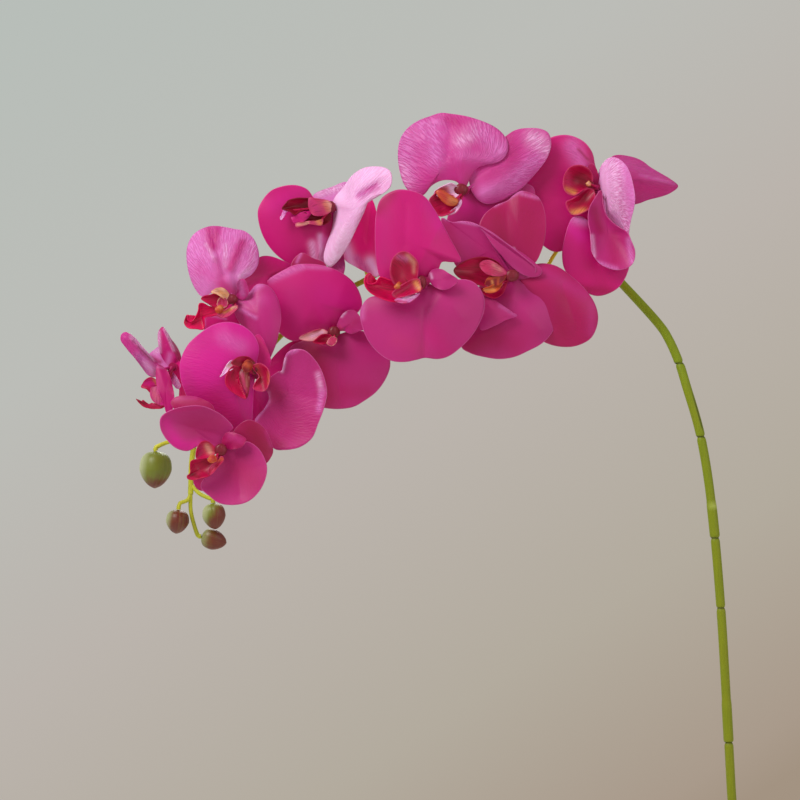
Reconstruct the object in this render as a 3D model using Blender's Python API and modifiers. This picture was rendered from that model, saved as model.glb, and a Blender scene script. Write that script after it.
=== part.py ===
"""A moth orchid spray standing in a vase: one arching stem, ten open blooms and four buds.

Lengths in the tables are millimetres. X runs to the right and Z up in the front view, Y away from
the viewer. The origin is the middle of the vase's foot.
"""

from math import atan2, cos, exp, pi, radians, sin

import bmesh
import bpy
from mathutils import Matrix, Vector

MM = 0.001

# Vase and water
FOOT_RADIUS = 54.0
BELLY_RADIUS = 62.0
NECK_RADIUS = 21.0
RIM_RADIUS = 25.0
BODY_TOP = 96.0
SHOULDER_TOP = 164.0
VASE_HEIGHT = 200.0
VASE_WALL = 4.0
VASE_FLOOR = 8.0
WATER_LEVEL = 118.0
WATER_GAP = 0.6
SEAT_GAP = 0.3

# Stem
STEM_RADIUS_LOW = 3.2
STEM_RADIUS_TOP = 1.9
STEM_HOLE_RADIUS = 3.6
STALK_RADIUS = 1.4
STEM_SPACING = 24.0
STALK_SPACING = 18.0
BUD_STALK_SPACING = 8.0
STEM_ROUTE = [
    (0, 0, 8.3), (0, 0, 60), (0, 0, 122), (-3, 0, 165), (-7, 0, 215), (-9, 2, 255), (-14, 5, 348),
    (-20, 9, 421), (-34, 17, 506), (-54, 25, 548), (-79, 30, 577), (-96, 34, 594), (-114, 36, 607),
    (-139, 36, 613), (-168, 36, 615), (-196, 36, 611), (-225, 35, 601), (-256, 34, 585),
    (-297, 30, 563), (-325, 26, 540), (-342, 20, 518), (-363, 12, 491), (-380, 6, 473),
    (-385, 3, 456), (-386, 0, 429),
]
# Heights of the grooves between the stem's lengths, and of the thicker sleeves above two of them
GROOVES = (255.0, 349.0, 398.0, 469.0, 521.0)
SLEEVES = ((255.0, 283.0), (398.0, 421.0))
GROOVE_DEPTH = 0.9
SLEEVE_SWELL = 0.35

# Buds
BUD_TAPER = 0.35
BUD_RIB = 0.05

# Petals
PETAL_THICK = 0.7
LIP_THICK = 0.8
HEART_RADIUS = 3.0
HEART_FRONT = 4.5
HEART_BACK = 3.0
CLAW_RADIUS = 1.3
# A petal's grid has five rows over the first width, four between the two and three under the second
WIDE_PETAL = 62
NARROW_PETAL = 24

# Lips: the column's post stands on the heart, then slants to the knob
LIP_CLAW_RADIUS = 1.2
POST_RADIUS = 1.6
POST_LENGTH = 2.2

# Faces that meet at more than this keep a sharp edge
SHARP_ANGLE = radians(50)


def sheet(root, turn, long, ahead, left, right, cup=15, curl=-15, roll=0, point=0, notch=0,
          corner=(0, 0, 0, 0), claw=True):
    """One petal. root: from the bloom's heart. turn: the way it points in the front view, in degrees
    counterclockwise from +X. long: length in that view. ahead: how far its tip comes to the viewer.
    left, right: where along it each side is widest, as a share of its length, and how wide.
    cup raises both sides and curl bends it along, in degrees. roll turns it about its own line.
    point narrows the tip, notch cuts into it, corner swells its four quarters."""
    return dict(root=root, turn=turn, long=long, ahead=ahead, left=left, right=right, cup=cup,
                curl=curl, roll=roll, point=point, notch=notch, corner=corner, claw=claw)


# The blooms in order along the stem, each with its heart, its petals, its lip and its column's knob
BLOOMS = {
    "01": dict(
        heart=(-101, 10, 644),
        petals={
            "left wing": sheet((-1, 0, -3), 180, 49, 0, (.54, 43), (.42, 41), 15, -10, corner=(0, .1, .05, .05)),
            "right wing": sheet((1, 0, -3), -18, 23, 45, (.21, 26), (.92, 32), -20, -20, corner=(.04, -.05, .03, 0)),
            "folded lobe": sheet((7, -12, -22), -86, 37, 16, (.67, 17), (.36, 14), 50, -10, corner=(0, .1, .05, .05)),
            "back sepal": sheet((2, 3, 5), -2, 56, -11, (.29, 21), (.48, 14), -30, -10, point=.3),
            "lower sepal": sheet((-3, 2, -20), -83, 58, 6, (.62, 22), (.36, 24), 15, -15, corner=(0, .12, .03, .02)),
            "ear": sheet((-1, -2, -3), 114, 33, 4, (.67, 3), (.46, 8)),
        },
        lip={
            "upper lobe": sheet((-4, -8, 3), 178, 21, 8, (.58, 11), (.56, 12), 70, 10),
            "lower lobe": sheet((-4, -8, -1), -136, 22, 8, (.66, 11), (.63, 6), 60, 10),
        },
        knob=((-5, -8, 2), (2.8, 2.8)),
    ),
    "02": dict(
        heart=(-194, -5, 641),
        petals={
            "upper wing": sheet((-2, 0, 1), 96, 55, -12, (.41, 43), (.45, 36), -20, -30, corner=(.1, -.05, .02, .02)),
            "right wing": sheet((4, 0, 3), 30, 65, -8, (.74, 20), (.17, 18), -20, -20, corner=(0, .05, .02, .04)),
            "lower sepal": sheet((-1, 0, -4), -54, 37, -2, (.73, 24), (.26, 16)),
        },
        lip={
            "tongue": sheet((-3, -8, -5), -169, 22, 6, (.54, 12), (.6, 10), 50, 10),
            "callus": sheet((-4, -9, -6), 170, 16, 7, (.52, 7), (.52, 3), 30, 10),
        },
        knob=((-3, -8, 0), (4.9, 4.2)),
    ),
    "03": dict(
        heart=(-162, -25, 580),
        petals={
            "upper wing": sheet((-5, 0, 1), 118, 38, 14, (.96, 31), (-.08, 24), 15, -30, corner=(0, 0, .06, -.05)),
            "rolled edge": sheet((-24, -14, 33), -33, 62, -11, (.51, 2), (.42, 8), 10, 0, claw=False),
            "ribbed sepal": sheet((0, 2, 10), 83, 49, -8, (.59, 17), (.62, 21), 15, -10, corner=(0, 0, 0, .04)),
            "right wing": sheet((3, 2, -9), -18, 59, -4, (.4, 26), (.67, 29), -15, -10, corner=(0, 0, .05, .05)),
            "lower wing": sheet((-1, 0, -3), -96, 53, 2, (.27, 34), (.72, 33), 15, -25, corner=(0, 0, .03, -.03)),
        },
        lip={
            "tongue": sheet((-5, -12, 0), 172, 35, 10, (.43, 15), (.57, 10), 50, 10),
            "hood": sheet((-4, -13, 2), 163, 20, 8, (.5, 7), (.47, 7), 40, 10),
            "lower lobe": sheet((-5, -13, -3), -152, 21, 7, (.61, 8), (.6, 4), 40, 10),
        },
        knob=((-1, -12, 0), (4.9, 4.2)),
    ),
    "04": dict(
        heart=(-222, -51, 575),
        petals={
            "upper wing": sheet((1, 0, 3), 106, 60, 4, (.48, 28), (.12, 27), -20, -20, corner=(.06, .12, .02, -.06)),
            "lower wing": sheet((-1, 0, -3), -92, 52, 2, (.24, 42), (.42, 42), 15, -25, notch=2, corner=(.04, 0, .02, .04)),
            "ear": sheet((3, -2, 1), -5, 19, 5, (.37, 7), (.56, 6)),
        },
        lip={
            "hood": sheet((-5, -8, -6), 114, 26, 8, (.67, 14), (.56, 7), 60, 10),
            "tongue": sheet((-9, -8, -7), 160, 34, 6, (.28, 13), (.49, 3), 30, 30),
            "lower lobe": sheet((-3, -8, -1), -132, 20, 8, (.33, 8), (.53, 9), 40, 10),
        },
        knob=((-3, -8, -1), (3.5, 4.9)),
    ),
    "05": dict(
        heart=(-286, 5, 630),
        petals={
            "left wing": sheet((-4, 0, -3), -176, 49, 6, (.41, 37), (.52, 21), 15, -10, corner=(.12, -.02, -.06, 0)),
            "right wing": sheet((1, 0, -3), -5, 27, 40, (1.53, 27), (-.23, 39), 10, 0, corner=(-.06, 0, .2, -.12)),
            "back sepal": sheet((1, 1, 2), 68, 18, -10, (.05, 17), (.72, 8)),
            "right sepal": sheet((13, 2, 2), -80, 50, -6, (.48, 16), (.67, 14), corner=(.1, 0, .1, 0)),
            "lower sepal": sheet((2, 2, -15), -88, 31, 8, (.64, 5), (.63, 6)),
        },
        lip={
            "throat": sheet((-10, -8, 1), -179, 26, 6, (.54, 7), (.65, 6), 30, 10),
            "tail": sheet((-26, -12, 1), -127, 16, 4, (.46, 2), (.56, 4), 10, 10, claw=False),
            "hood": sheet((0, -6, 1), -176, 18, 6, (.56, 8), (.52, 7), 50, 10),
            "lower lobe": sheet((-3, -7, -5), -158, 24, 7, (.55, 6), (.54, 5), 40, 10),
        },
        knob=((-2, -7, 0), (3.5, 4.2)),
    ),
    "06": dict(
        heart=(-285, -10, 542),
        petals={
            "upper wing": sheet((-3, 0, 0), 108, 50, 4, (.72, 38), (.35, 30), -15, -15, corner=(.06, 0, .03, .05)),
            "lower wing": sheet((-1, 0, -3), -83, 50, -2, (.45, 38), (.39, 33), 15, -15, corner=(-.06, 0, .05, 0)),
            "back sepal": sheet((-2, 3, 6), 107, 52, -1, (.81, 17), (.7, 7)),
            "left sepal": sheet((-6, 3, -8), -154, 45, -5, (.83, 20), (.51, 12)),
            "ear": sheet((4, -2, 2), 22, 18, 6, (.53, 10), (.42, 7)),
        },
        lip={
            "left lobe": sheet((-1, -7, -1), -167, 22, 5, (.53, 3), (.38, 6), 20, 10),
            "throat": sheet((0, -8, -2), -149, 14, 4, (.49, 7), (.51, 3), 40, 10),
        },
        knob=((0, -7, 0), (4.2, 4.2)),
    ),
    "07": dict(
        heart=(-354, -28, 564),
        petals={
            "upper wing": sheet((0, 0, 4), 102, 49, -14, (.55, 28), (.52, 24), -15, -30, corner=(-.05, -.12, -.02, 0)),
            "right wing": sheet((5, 0, -3), -63, 46, 8, (.23, 25), (.53, 14), -20, -20, corner=(.06, 0, .06, 0)),
            "back sepal": sheet((3, 2, 1), 34, 43, -10, (.62, 16), (.66, 9), 20, -15),
            "lower sepal": sheet((3, 2, -12), -173, 25, -6, (.53, 12), (.65, 6)),
            "ear": sheet((5, -2, 2), 79, 12, 5, (.46, 3), (.56, 4)),
        },
        lip={
            "tongue": sheet((-8, -8, -4), -148, 26, 6, (.53, 8), (.3, 8), 30, 30),
            "upper lobe": sheet((-3, -8, 2), -179, 17, 4, (.56, 10), (.56, 6), 30, 10),
            "hood": sheet((0, -9, 0), 161, 14, 5, (.59, 2), (.56, 7), 40, 10),
            "lower lobe": sheet((1, -9, -5), -143, 14, 5, (.51, 7), (.54, 2), 40, 10),
        },
        knob=((-1, -8, 0), (4.9, 3.5)),
    ),
    "08": dict(
        heart=(-336, -51, 512),
        petals={
            "left wing": sheet((1, 0, -1), 173, 52, 8, (.46, 47), (.55, 33), -20, -20, corner=(.04, .02, 0, .02)),
            "right wing": sheet((5, 0, -8), -6, 42, 10, (.46, 28), (.49, 42), 25, -30, corner=(.05, .02, .05, 0)),
            "back sepal": sheet((5, 3, 1), 103, 27, -9, (.63, 8), (.35, 8)),
            "lower sepal": sheet((2, 2, -7), -102, 28, -6, (.38, 9), (.49, 5)),
        },
        lip={
            "left lobe": sheet((-9, -10, 8), -147, 19, 4, (.74, 2), (.3, 8), 20, 10),
            "hood": sheet((1, -8, 3), 152, 17, 6, (.51, 5), (.59, 7), 50, 10),
            "tongue": sheet((-5, -10, 4), -100, 21, 6, (.46, 8), (.65, 13), 40, 10),
            "right lobe": sheet((-4, -10, 7), -65, 20, 6, (.58, 10), (.58, 4), 40, 10),
        },
        knob=((-1, -8, 4), (3.5, 3.5)),
    ),
    "09": dict(
        heart=(-397, -10, 518),
        petals={
            "left wing": sheet((-12, 0, -5), 131, 35, 10, (.53, 6), (.55, 8), roll=40),
            "upper sepal": sheet((-1, 0, -2), 105, 30, -4, (.64, 7), (.29, 11), roll=40),
            "back sepal": sheet((-4, 0, -2), 133, 17, -4, (.74, 7), (.54, 5), roll=30),
            "lower sepal": sheet((-9, -12, 3), -79, 35, 8, (.53, 8), (.39, 7), roll=40),
            "right sepal": sheet((-4, 0, 1), -44, 20, -3, (.26, 12), (.65, 8), roll=30),
        },
        lip={
            "upper lobe": sheet((-8, -6, -9), -163, 14, 3, (.68, 7), (.45, 5), 40, 10),
            "throat": sheet((-6, -6, -13), -124, 14, 3, (.39, 7), (.52, 6), 50, 10),
            "tail": sheet((-7, -8, -23), 174, 19, 3, (.5, 6), (.5, 2), 20, 40),
        },
        knob=((-5, -7, -9), (2.8, 2.8)),
    ),
    "10": dict(
        heart=(-358, -75, 462),
        petals={
            "upper wing": sheet((3, 0, 5), 165, 44, 14, (.51, 13), (.53, 18), 25, -20),
            "lower wing": sheet((4, 0, 4), -86, 43, 8, (.46, 25), (.61, 19), 20, -20, corner=(.05, 0, 0, .05)),
            "back sepal": sheet((9, 2, 7), -19, 26, -8, (.37, 14), (.75, 13), 15, -10),
            "upper sepal": sheet((-10, 3, 15), 139, 28, -11, (.8, 9), (.54, 12)),
            "lower sepal": sheet((-6, 2, -13), -117, 19, -6, (.54, 4), (.83, 7)),
            "ear": sheet((3, -2, 5), -2, 13, 6, (.3, 5), (.65, 4)),
        },
        lip={
            "tongue": sheet((-3, -8, -9), -145, 22, 6, (.43, 10), (.49, 8), 30, -20),
            "hood": sheet((1, -8, -3), 166, 17, 4, (.54, 7), (.55, 5), 30, 20),
            "lower lobe": sheet((1, -9, -4), -138, 14, 6, (.35, 5), (.58, 4), 30, 20),
        },
        knob=((0, -8, 0), (4.2, 4.2)),
    ),
}

# Each bloom's stalk, from the stem to just behind its heart
STALKS = {
    "01": [(-114, 36, 607), (-110, 38, 622), (-104, 32, 638), (-101, 22, 644)],
    "02": [(-196, 36, 611), (-197, 34, 628), (-195, 18, 640)],
    "03": [(-122, 36, 609), (-129, 33, 599), (-136, 26, 589), (-149, 8, 582), (-160, -12, 580)],
    "04": [(-210, 36, 607), (-216, 24, 592), (-221, -8, 579), (-222, -34, 575)],
    "05": [(-262, 34, 582), (-268, 36, 600), (-280, 30, 623), (-286, 18, 630)],
    "06": [(-305, 29, 557), (-298, 22, 548), (-288, 8, 543)],
    "07": [(-325, 26, 540), (-338, 22, 552), (-350, 0, 562), (-354, -14, 564)],
    "08": [(-345, 18, 514), (-342, -4, 513), (-336, -34, 512)],
    "09": [(-368, 10, 487), (-380, 18, 500), (-396, 12, 518)],
    "10": [(-383, 4, 466), (-374, -18, 466), (-359, -52, 462)],
}

# Each bud: middle, the way it points, thickness, length, and the stalk that carries it
BUDS = {
    "1": dict(middle=(-411, -6, 447), points=(-.35, 0, -1), thick=22, long=26,
              stalk=[(-383, 4, 464), (-390, 0, 467), (-400, -4, 466)]),
    "2": dict(middle=(-395, -3, 410), points=(-.1, 0, -1), thick=16, long=16.5,
              stalk=[(-386, 0, 429), (-388, -1, 425), (-393, -3, 423)]),
    "3": dict(middle=(-370, -5, 414), points=(.1, 0, -1), thick=16, long=18,
              stalk=[(-386, 1, 436), (-380, -2, 430), (-374, -4, 427)]),
    "4": dict(middle=(-369, 4, 398), points=(1, 0, .05), thick=14.5, long=18,
              stalk=[(-386, 0, 429), (-387, 1, 418), (-384, 3, 406), (-381, 4, 401)]),
}


def clear_scene():
    for old in list(bpy.data.objects):
        bpy.data.objects.remove(old, do_unlink=True)


def new_collection(name):
    group = bpy.data.collections.new(name)
    bpy.context.scene.collection.children.link(group)
    return group


def material(name, colour, roughness, metallic=0.0):
    made = bpy.data.materials.new(name)
    made.use_nodes = True
    shader = made.node_tree.nodes["Principled BSDF"]
    shader.inputs["Base Color"].default_value = (*colour, 1)
    shader.inputs["Roughness"].default_value = roughness
    shader.inputs["Metallic"].default_value = metallic
    return made


def mesh_object(name, shape, group, look=None):
    """A new object from a bmesh, which it frees."""
    mesh = bpy.data.meshes.new(name)
    shape.to_mesh(mesh)
    shape.free()
    made = bpy.data.objects.new(name, mesh)
    if look:
        mesh.materials.append(look)
    group.objects.link(made)
    return made


def smooth_route(points, spacing):
    """Points at about even spacing along a smooth curve through the given ones."""
    points = [Vector(point) for point in points]
    ends = [2 * points[0] - points[1], *points, 2 * points[-1] - points[-2]]
    found = []
    for before, start, end, after in zip(ends, ends[1:], ends[2:], ends[3:]):
        steps = max(1, round((end - start).length / spacing))
        for step in range(steps):
            t = step / steps
            found.append(
                0.5 * (2 * start + (end - before) * t
                       + (2 * before - 5 * start + 4 * end - after) * t * t
                       + (3 * start - before - 3 * end + after) * t ** 3)
            )
    return [*found, points[-1]]


def tube(name, points, radii, group):
    """A closed mesh tube along the points, in millimetres."""
    curve = bpy.data.curves.new(name, "CURVE")
    curve.dimensions = "3D"
    curve.bevel_depth = MM
    curve.bevel_resolution = 2
    curve.use_fill_caps = True
    spline = curve.splines.new("POLY")
    spline.points.add(len(points) - 1)
    for spot, point, radius in zip(spline.points, points, radii):
        spot.co = (*(Vector(point) * MM), 1)
        spot.radius = radius
    guide = bpy.data.objects.new(name + "_guide", curve)
    group.objects.link(guide)
    bpy.context.view_layer.update()
    mesh = bpy.data.meshes.new_from_object(guide.evaluated_get(bpy.context.evaluated_depsgraph_get()))
    shape = bmesh.new()
    shape.from_mesh(mesh)
    bmesh.ops.remove_doubles(shape, verts=shape.verts, dist=1e-6)
    bmesh.ops.recalc_face_normals(shape, faces=shape.faces)
    bpy.data.objects.remove(guide)
    bpy.data.meshes.remove(mesh)
    return mesh_object(name, shape, group)


def cone(name, start, end, radius_start, radius_end, sides, group):
    """A tapered rod between two points, in millimetres."""
    start, end = Vector(start), Vector(end)
    way = end - start
    shape = bmesh.new()
    bmesh.ops.create_cone(shape, cap_ends=True, segments=sides, radius1=radius_start * MM,
                          radius2=radius_end * MM, depth=way.length * MM)
    turn = way.to_track_quat("Z", "Y").to_matrix().to_4x4()
    bmesh.ops.transform(shape, matrix=Matrix.Translation((start + end) * MM / 2) @ turn, verts=shape.verts)
    return mesh_object(name, shape, group)


def joined(base, others, look):
    """The union of base and every object of the collection others, with one material."""
    union = base.modifiers.new("Union", "BOOLEAN")
    union.operation = "UNION"
    union.solver = "EXACT"
    union.operand_type = "COLLECTION"
    union.collection = others
    bpy.context.view_layer.update()
    mesh = bpy.data.meshes.new_from_object(base.evaluated_get(bpy.context.evaluated_depsgraph_get()))
    base.modifiers.clear()
    base.data = mesh
    mesh.materials.clear()
    mesh.materials.append(look)
    mesh.shade_smooth()
    mesh.set_sharp_from_angle(angle=SHARP_ANGLE)
    for piece in list(others.objects):
        bpy.data.objects.remove(piece, do_unlink=True)
    bpy.data.collections.remove(others)
    return base


def sheet_frame(heart, petal):
    """Root, length and the three directions of a petal: along it, across it and its face's way."""
    root = Vector(heart) + Vector(petal["root"])
    turn = radians(petal["turn"])
    chord = Vector((cos(turn) * petal["long"], -petal["ahead"], sin(turn) * petal["long"]))
    along = chord.normalized()
    to_viewer = Vector((0, -1, 0))
    face = (to_viewer - to_viewer.dot(along) * along).normalized()
    return root, chord.length, along, face.cross(along), face


def sheet_point(heart, petal, p, q):
    """The petal's surface at p along (-1 root, 1 tip) and q across (1 left, -1 right), p and q in a
    unit disc. The outline swells at the four corners, then the flat shape is cupped and curled."""
    root, length, along, across, face = sheet_frame(heart, petal)
    quarter = petal["corner"][(p >= 0) * 2 + (q <= 0)]
    radius_squared = p * p + q * q
    if radius_squared:
        swell = 1 + quarter * (2 * p * q / radius_squared) ** 2
        p, q = p * swell, q * swell
    station, reach = petal["left"] if q > 0 else petal["right"]
    share = (p + 1) / 2
    side = q * reach * (1 - petal["point"] * max(p, 0) ** 2)
    travel = share * length + q * q * (station - 0.5) * length
    travel -= petal["notch"] * exp(-((q / 0.3) ** 2)) * share ** 3
    # Curled along: an arc whose two ends stay at the root and the tip
    curl = radians(petal["curl"])
    slope = curl * (travel / length - 0.5)
    forward, rise = travel, 0.0
    if curl:
        bend = length / (2 * sin(curl / 2))
        forward = length / 2 + bend * sin(slope)
        rise = bend * (cos(curl / 2) - cos(slope))
    # Cupped across
    cup = radians(petal["cup"])
    if cup:
        bend = (petal["left"][1] + petal["right"][1]) / cup
        side, lift = bend * sin(side / bend), bend * (1 - cos(side / bend))
    else:
        lift = 0.0
    if not curl:
        slope = 0.0
    forward -= lift * sin(slope)
    rise += lift * cos(slope)
    roll = radians(petal["roll"])
    side, rise = side * cos(roll) - rise * sin(roll), side * sin(roll) + rise * cos(roll)
    return root + forward * along + side * across + rise * face


def round_grid(rows):
    """A square grid, rows by rows, pressed into a unit disc."""
    shape = bmesh.new()
    bmesh.ops.create_grid(shape, x_segments=rows, y_segments=rows, size=1.0)
    bmesh.ops.triangulate(shape, faces=shape.faces)
    for vert in shape.verts:
        x, y = vert.co.x, vert.co.y
        vert.co = (x * (1 - y * y / 2) ** 0.5, y * (1 - x * x / 2) ** 0.5, 0)
    return shape


def petal_solid(name, heart, petal, rows, thick, group):
    """A petal's curved sheet with its thickness, from a round grid."""
    shape = round_grid(rows)
    for vert in shape.verts:
        vert.co = sheet_point(heart, petal, vert.co.x, vert.co.y) * MM
    made = mesh_object(name, shape, group)
    shell = made.modifiers.new("Thickness", "SOLIDIFY")
    shell.thickness = thick * MM
    shell.offset = 0
    return made


def bloom(number, row, look, group):
    """Petals fused round a short heart. Narrow claws carry the petals from the heart."""
    heart = Vector(row["heart"])
    others = new_collection("petals_" + number)
    for name, petal in row["petals"].items():
        width = petal["left"][1] + petal["right"][1]
        rows = 5 if width > WIDE_PETAL else 4 if width > NARROW_PETAL else 3
        petal_solid(name, heart, petal, rows, PETAL_THICK, others)
        if petal["claw"] and Vector(petal["root"]).xz.length > HEART_RADIUS:
            end = sheet_point(heart, petal, -0.7, 0)
            cone(name + " claw", heart, end, CLAW_RADIUS, CLAW_RADIUS * 0.6, 5, others)
    middle = cone("bloom_" + number, heart - Vector((0, HEART_FRONT, 0)), heart + Vector((0, HEART_BACK, 0)),
                  HEART_RADIUS, HEART_RADIUS, 10, group)
    return joined(middle, others, look)


def lip(number, row, look, group):
    """A lip's lobes fused to the column, whose foot stands on the front of the heart."""
    heart = Vector(row["heart"])
    middle, (across, up) = row["knob"]
    middle = heart + Vector(middle)
    others = new_collection("lip_parts_" + number)
    for name, petal in row["lip"].items():
        petal_solid(name, heart, petal, 3, LIP_THICK, others)
        root = heart + Vector(petal["root"])
        if petal["claw"] and (root - middle).length > 0.7 * min(across, up):
            end = sheet_point(heart, petal, -0.7, 0)
            cone(name + " claw", middle, end, LIP_CLAW_RADIUS, LIP_CLAW_RADIUS * 0.75, 5, others)
    knob = bmesh.new()
    bmesh.ops.create_uvsphere(knob, u_segments=8, v_segments=5, radius=MM)
    scale = Matrix.Diagonal((across, (across + up) / 3.2, up, 1))
    bmesh.ops.transform(knob, matrix=Matrix.Translation(middle * MM) @ scale, verts=knob.verts)
    mesh_object("knob", knob, others)
    foot = heart - Vector((0, HEART_FRONT + SEAT_GAP, 0))
    bend = foot - Vector((0, POST_LENGTH, 0))
    cone("slant", foot.lerp(bend, 0.6), middle, POST_RADIUS * 0.95, POST_RADIUS * 0.8, 8, others)
    post = cone("lip_" + number, foot, bend, POST_RADIUS, POST_RADIUS * 0.95, 8, group)
    return joined(post, others, look)


def stem_radius(height, share):
    """Tapering to the tip, with a groove between lengths and a swell on the sleeves."""
    radius = STEM_RADIUS_LOW + (STEM_RADIUS_TOP - STEM_RADIUS_LOW) * min(1, max(0, share - 0.35) / 0.35)
    for low, high in SLEEVES:
        if low < height < high:
            radius += SLEEVE_SWELL
    for groove in GROOVES:
        radius -= GROOVE_DEPTH * exp(-(((height - groove) / 2.0) ** 2))
    return radius


def with_grooves(route):
    """The route with three close points at each groove, where the stem first climbs past it."""
    for groove in GROOVES:
        for height in (groove - 3, groove, groove + 3):
            below = next(i for i, point in enumerate(route) if route[i + 1].z > height)
            low, high = route[below], route[below + 1]
            if min(abs(low.z - height), abs(high.z - height)) > 0.5:
                route.insert(below + 1, low.lerp(high, (height - low.z) / (high.z - low.z)))
    return route


def stem(look, group):
    """The main stem with all the stalks of blooms and buds."""
    route = with_grooves(smooth_route(STEM_ROUTE, STEM_SPACING))
    radii = [stem_radius(point.z, i / len(route)) for i, point in enumerate(route)]
    others = new_collection("stalks")
    for number, points in STALKS.items():
        heart = Vector(BLOOMS[number]["heart"])
        end = heart + Vector((0, HEART_BACK + SEAT_GAP, 0))
        path = smooth_route([*points, end], STALK_SPACING)
        tube("stalk_" + number, path, [STALK_RADIUS] * len(path), others)
    for number, bud in BUDS.items():
        points = Vector(bud["points"]).normalized()
        end = Vector(bud["middle"]) - points * (bud["long"] / 2 + SEAT_GAP)
        path = [*smooth_route([*bud["stalk"], end - points * 2.5], BUD_STALK_SPACING), end]
        tube("bud_stalk_" + number, path, [STALK_RADIUS] * len(path), others)
    main = tube("stem", route, radii, group)
    return joined(main, others, look)


def bud_object(number, bud, look, group):
    """An egg shape with three soft ribs and a blunt tip."""
    shape = bmesh.new()
    bmesh.ops.create_uvsphere(shape, u_segments=12, v_segments=7, radius=0.5)
    for vert in shape.verts:
        x, y, z = vert.co
        wide = bud["thick"] * (1 - BUD_TAPER * max(z, 0)) * (1 + BUD_RIB * cos(3 * atan2(y, x)))
        vert.co = (x * wide * MM, y * wide * MM, z * bud["long"] * MM)
    turn = Vector(bud["points"]).to_track_quat("Z", "Y").to_matrix().to_4x4()
    bmesh.ops.transform(shape, matrix=Matrix.Translation(Vector(bud["middle"]) * MM) @ turn, verts=shape.verts)
    made = mesh_object("bud_" + number, shape, group, look)
    made.data.shade_smooth()
    return made


def turned(name, profile, steps, look, group):
    """A solid of revolution about Z. The profile, in millimetres, runs down its outer side."""
    shape = bmesh.new()
    verts = [shape.verts.new((radius * MM, 0, height * MM)) for radius, height in profile]
    for first, second in zip(verts, verts[1:]):
        shape.edges.new((first, second))
    made = mesh_object(name, shape, group, look)
    screw = made.modifiers.new("Turn", "SCREW")
    screw.steps = screw.render_steps = steps
    screw.use_merge_vertices = True
    screw.merge_threshold = 0.00001
    return made


def vase_radius(height):
    """Outer radius: an upright body, a rounded shoulder and a slim neck with a small flare."""
    if height < BODY_TOP:
        return FOOT_RADIUS + (BELLY_RADIUS - FOOT_RADIUS) * sin(height / BODY_TOP * pi / 2)
    if height < SHOULDER_TOP:
        turn = (height - BODY_TOP) / (SHOULDER_TOP - BODY_TOP) * pi
        return (BELLY_RADIUS + NECK_RADIUS) / 2 + (BELLY_RADIUS - NECK_RADIUS) / 2 * cos(turn)
    return NECK_RADIUS + (RIM_RADIUS - NECK_RADIUS) * ((height - SHOULDER_TOP) / (VASE_HEIGHT - SHOULDER_TOP)) ** 2


def vase(look, group):
    levels = [VASE_FLOOR + 2, 45, 80, 100, 115, 130, 145, 160, 182, VASE_HEIGHT - 1]
    inside = [(vase_radius(level) - VASE_WALL, level) for level in levels]
    outside = [(vase_radius(level), level) for level in reversed(levels)]
    profile = [(0, VASE_FLOOR), (inside[0][0] - 3, VASE_FLOOR), *inside,
               (RIM_RADIUS - VASE_WALL + 1, VASE_HEIGHT), (RIM_RADIUS - 1, VASE_HEIGHT),
               *outside, (FOOT_RADIUS, 1.5), (FOOT_RADIUS - 1.5, 0), (0, 0)]
    return turned("vase", profile, 28, look, group)


def water(look, group):
    """The water, with a plain hole where the stem stands."""
    bottom = VASE_FLOOR + SEAT_GAP
    levels = [VASE_FLOOR + 3, 45, 80, 100, WATER_LEVEL]
    wall = [(vase_radius(level) - VASE_WALL - WATER_GAP, level) for level in reversed(levels)]
    profile = [(STEM_HOLE_RADIUS, bottom), (STEM_HOLE_RADIUS, WATER_LEVEL), *wall,
               (wall[-1][0] - 4, bottom), (STEM_HOLE_RADIUS, bottom)]
    return turned("water", profile, 24, look, group)


def main():
    clear_scene()
    group = new_collection("orchid_stem_in_vase")
    petal_look = material("petal magenta", (0.55, 0.02, 0.2), 0.5)
    lip_look = material("lip crimson", (0.42, 0.01, 0.05), 0.45)
    stem_look = material("stem green", (0.22, 0.3, 0.04), 0.5)
    bud_look = material("bud green", (0.24, 0.26, 0.07), 0.55)
    vase_look = material("vase glaze", (0.72, 0.7, 0.66), 0.25)
    water_look = material("water", (0.75, 0.82, 0.84), 0.05)
    vase(vase_look, group)
    water(water_look, group)
    stem(stem_look, group)
    for number, row in BLOOMS.items():
        bloom(number, row, petal_look, group)
        lip(number, row, lip_look, group)
    for number, bud in BUDS.items():
        bud_object(number, bud, bud_look, group)


main()
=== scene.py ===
# %% [markdown]
# # A moth orchid spray standing in a vase
#
# The real thing is an arching green stem with ten magenta blooms and four closed buds, standing in a
# plain vase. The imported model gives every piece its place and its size. This lesson gives each piece
# its fine form and its finish: thin curved petals with embossed veins, red and gold lips, a stem made
# of sleeves, ribbed buds and a glazed vase.

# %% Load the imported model
from math import cos, pi, radians, sin, sqrt

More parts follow.
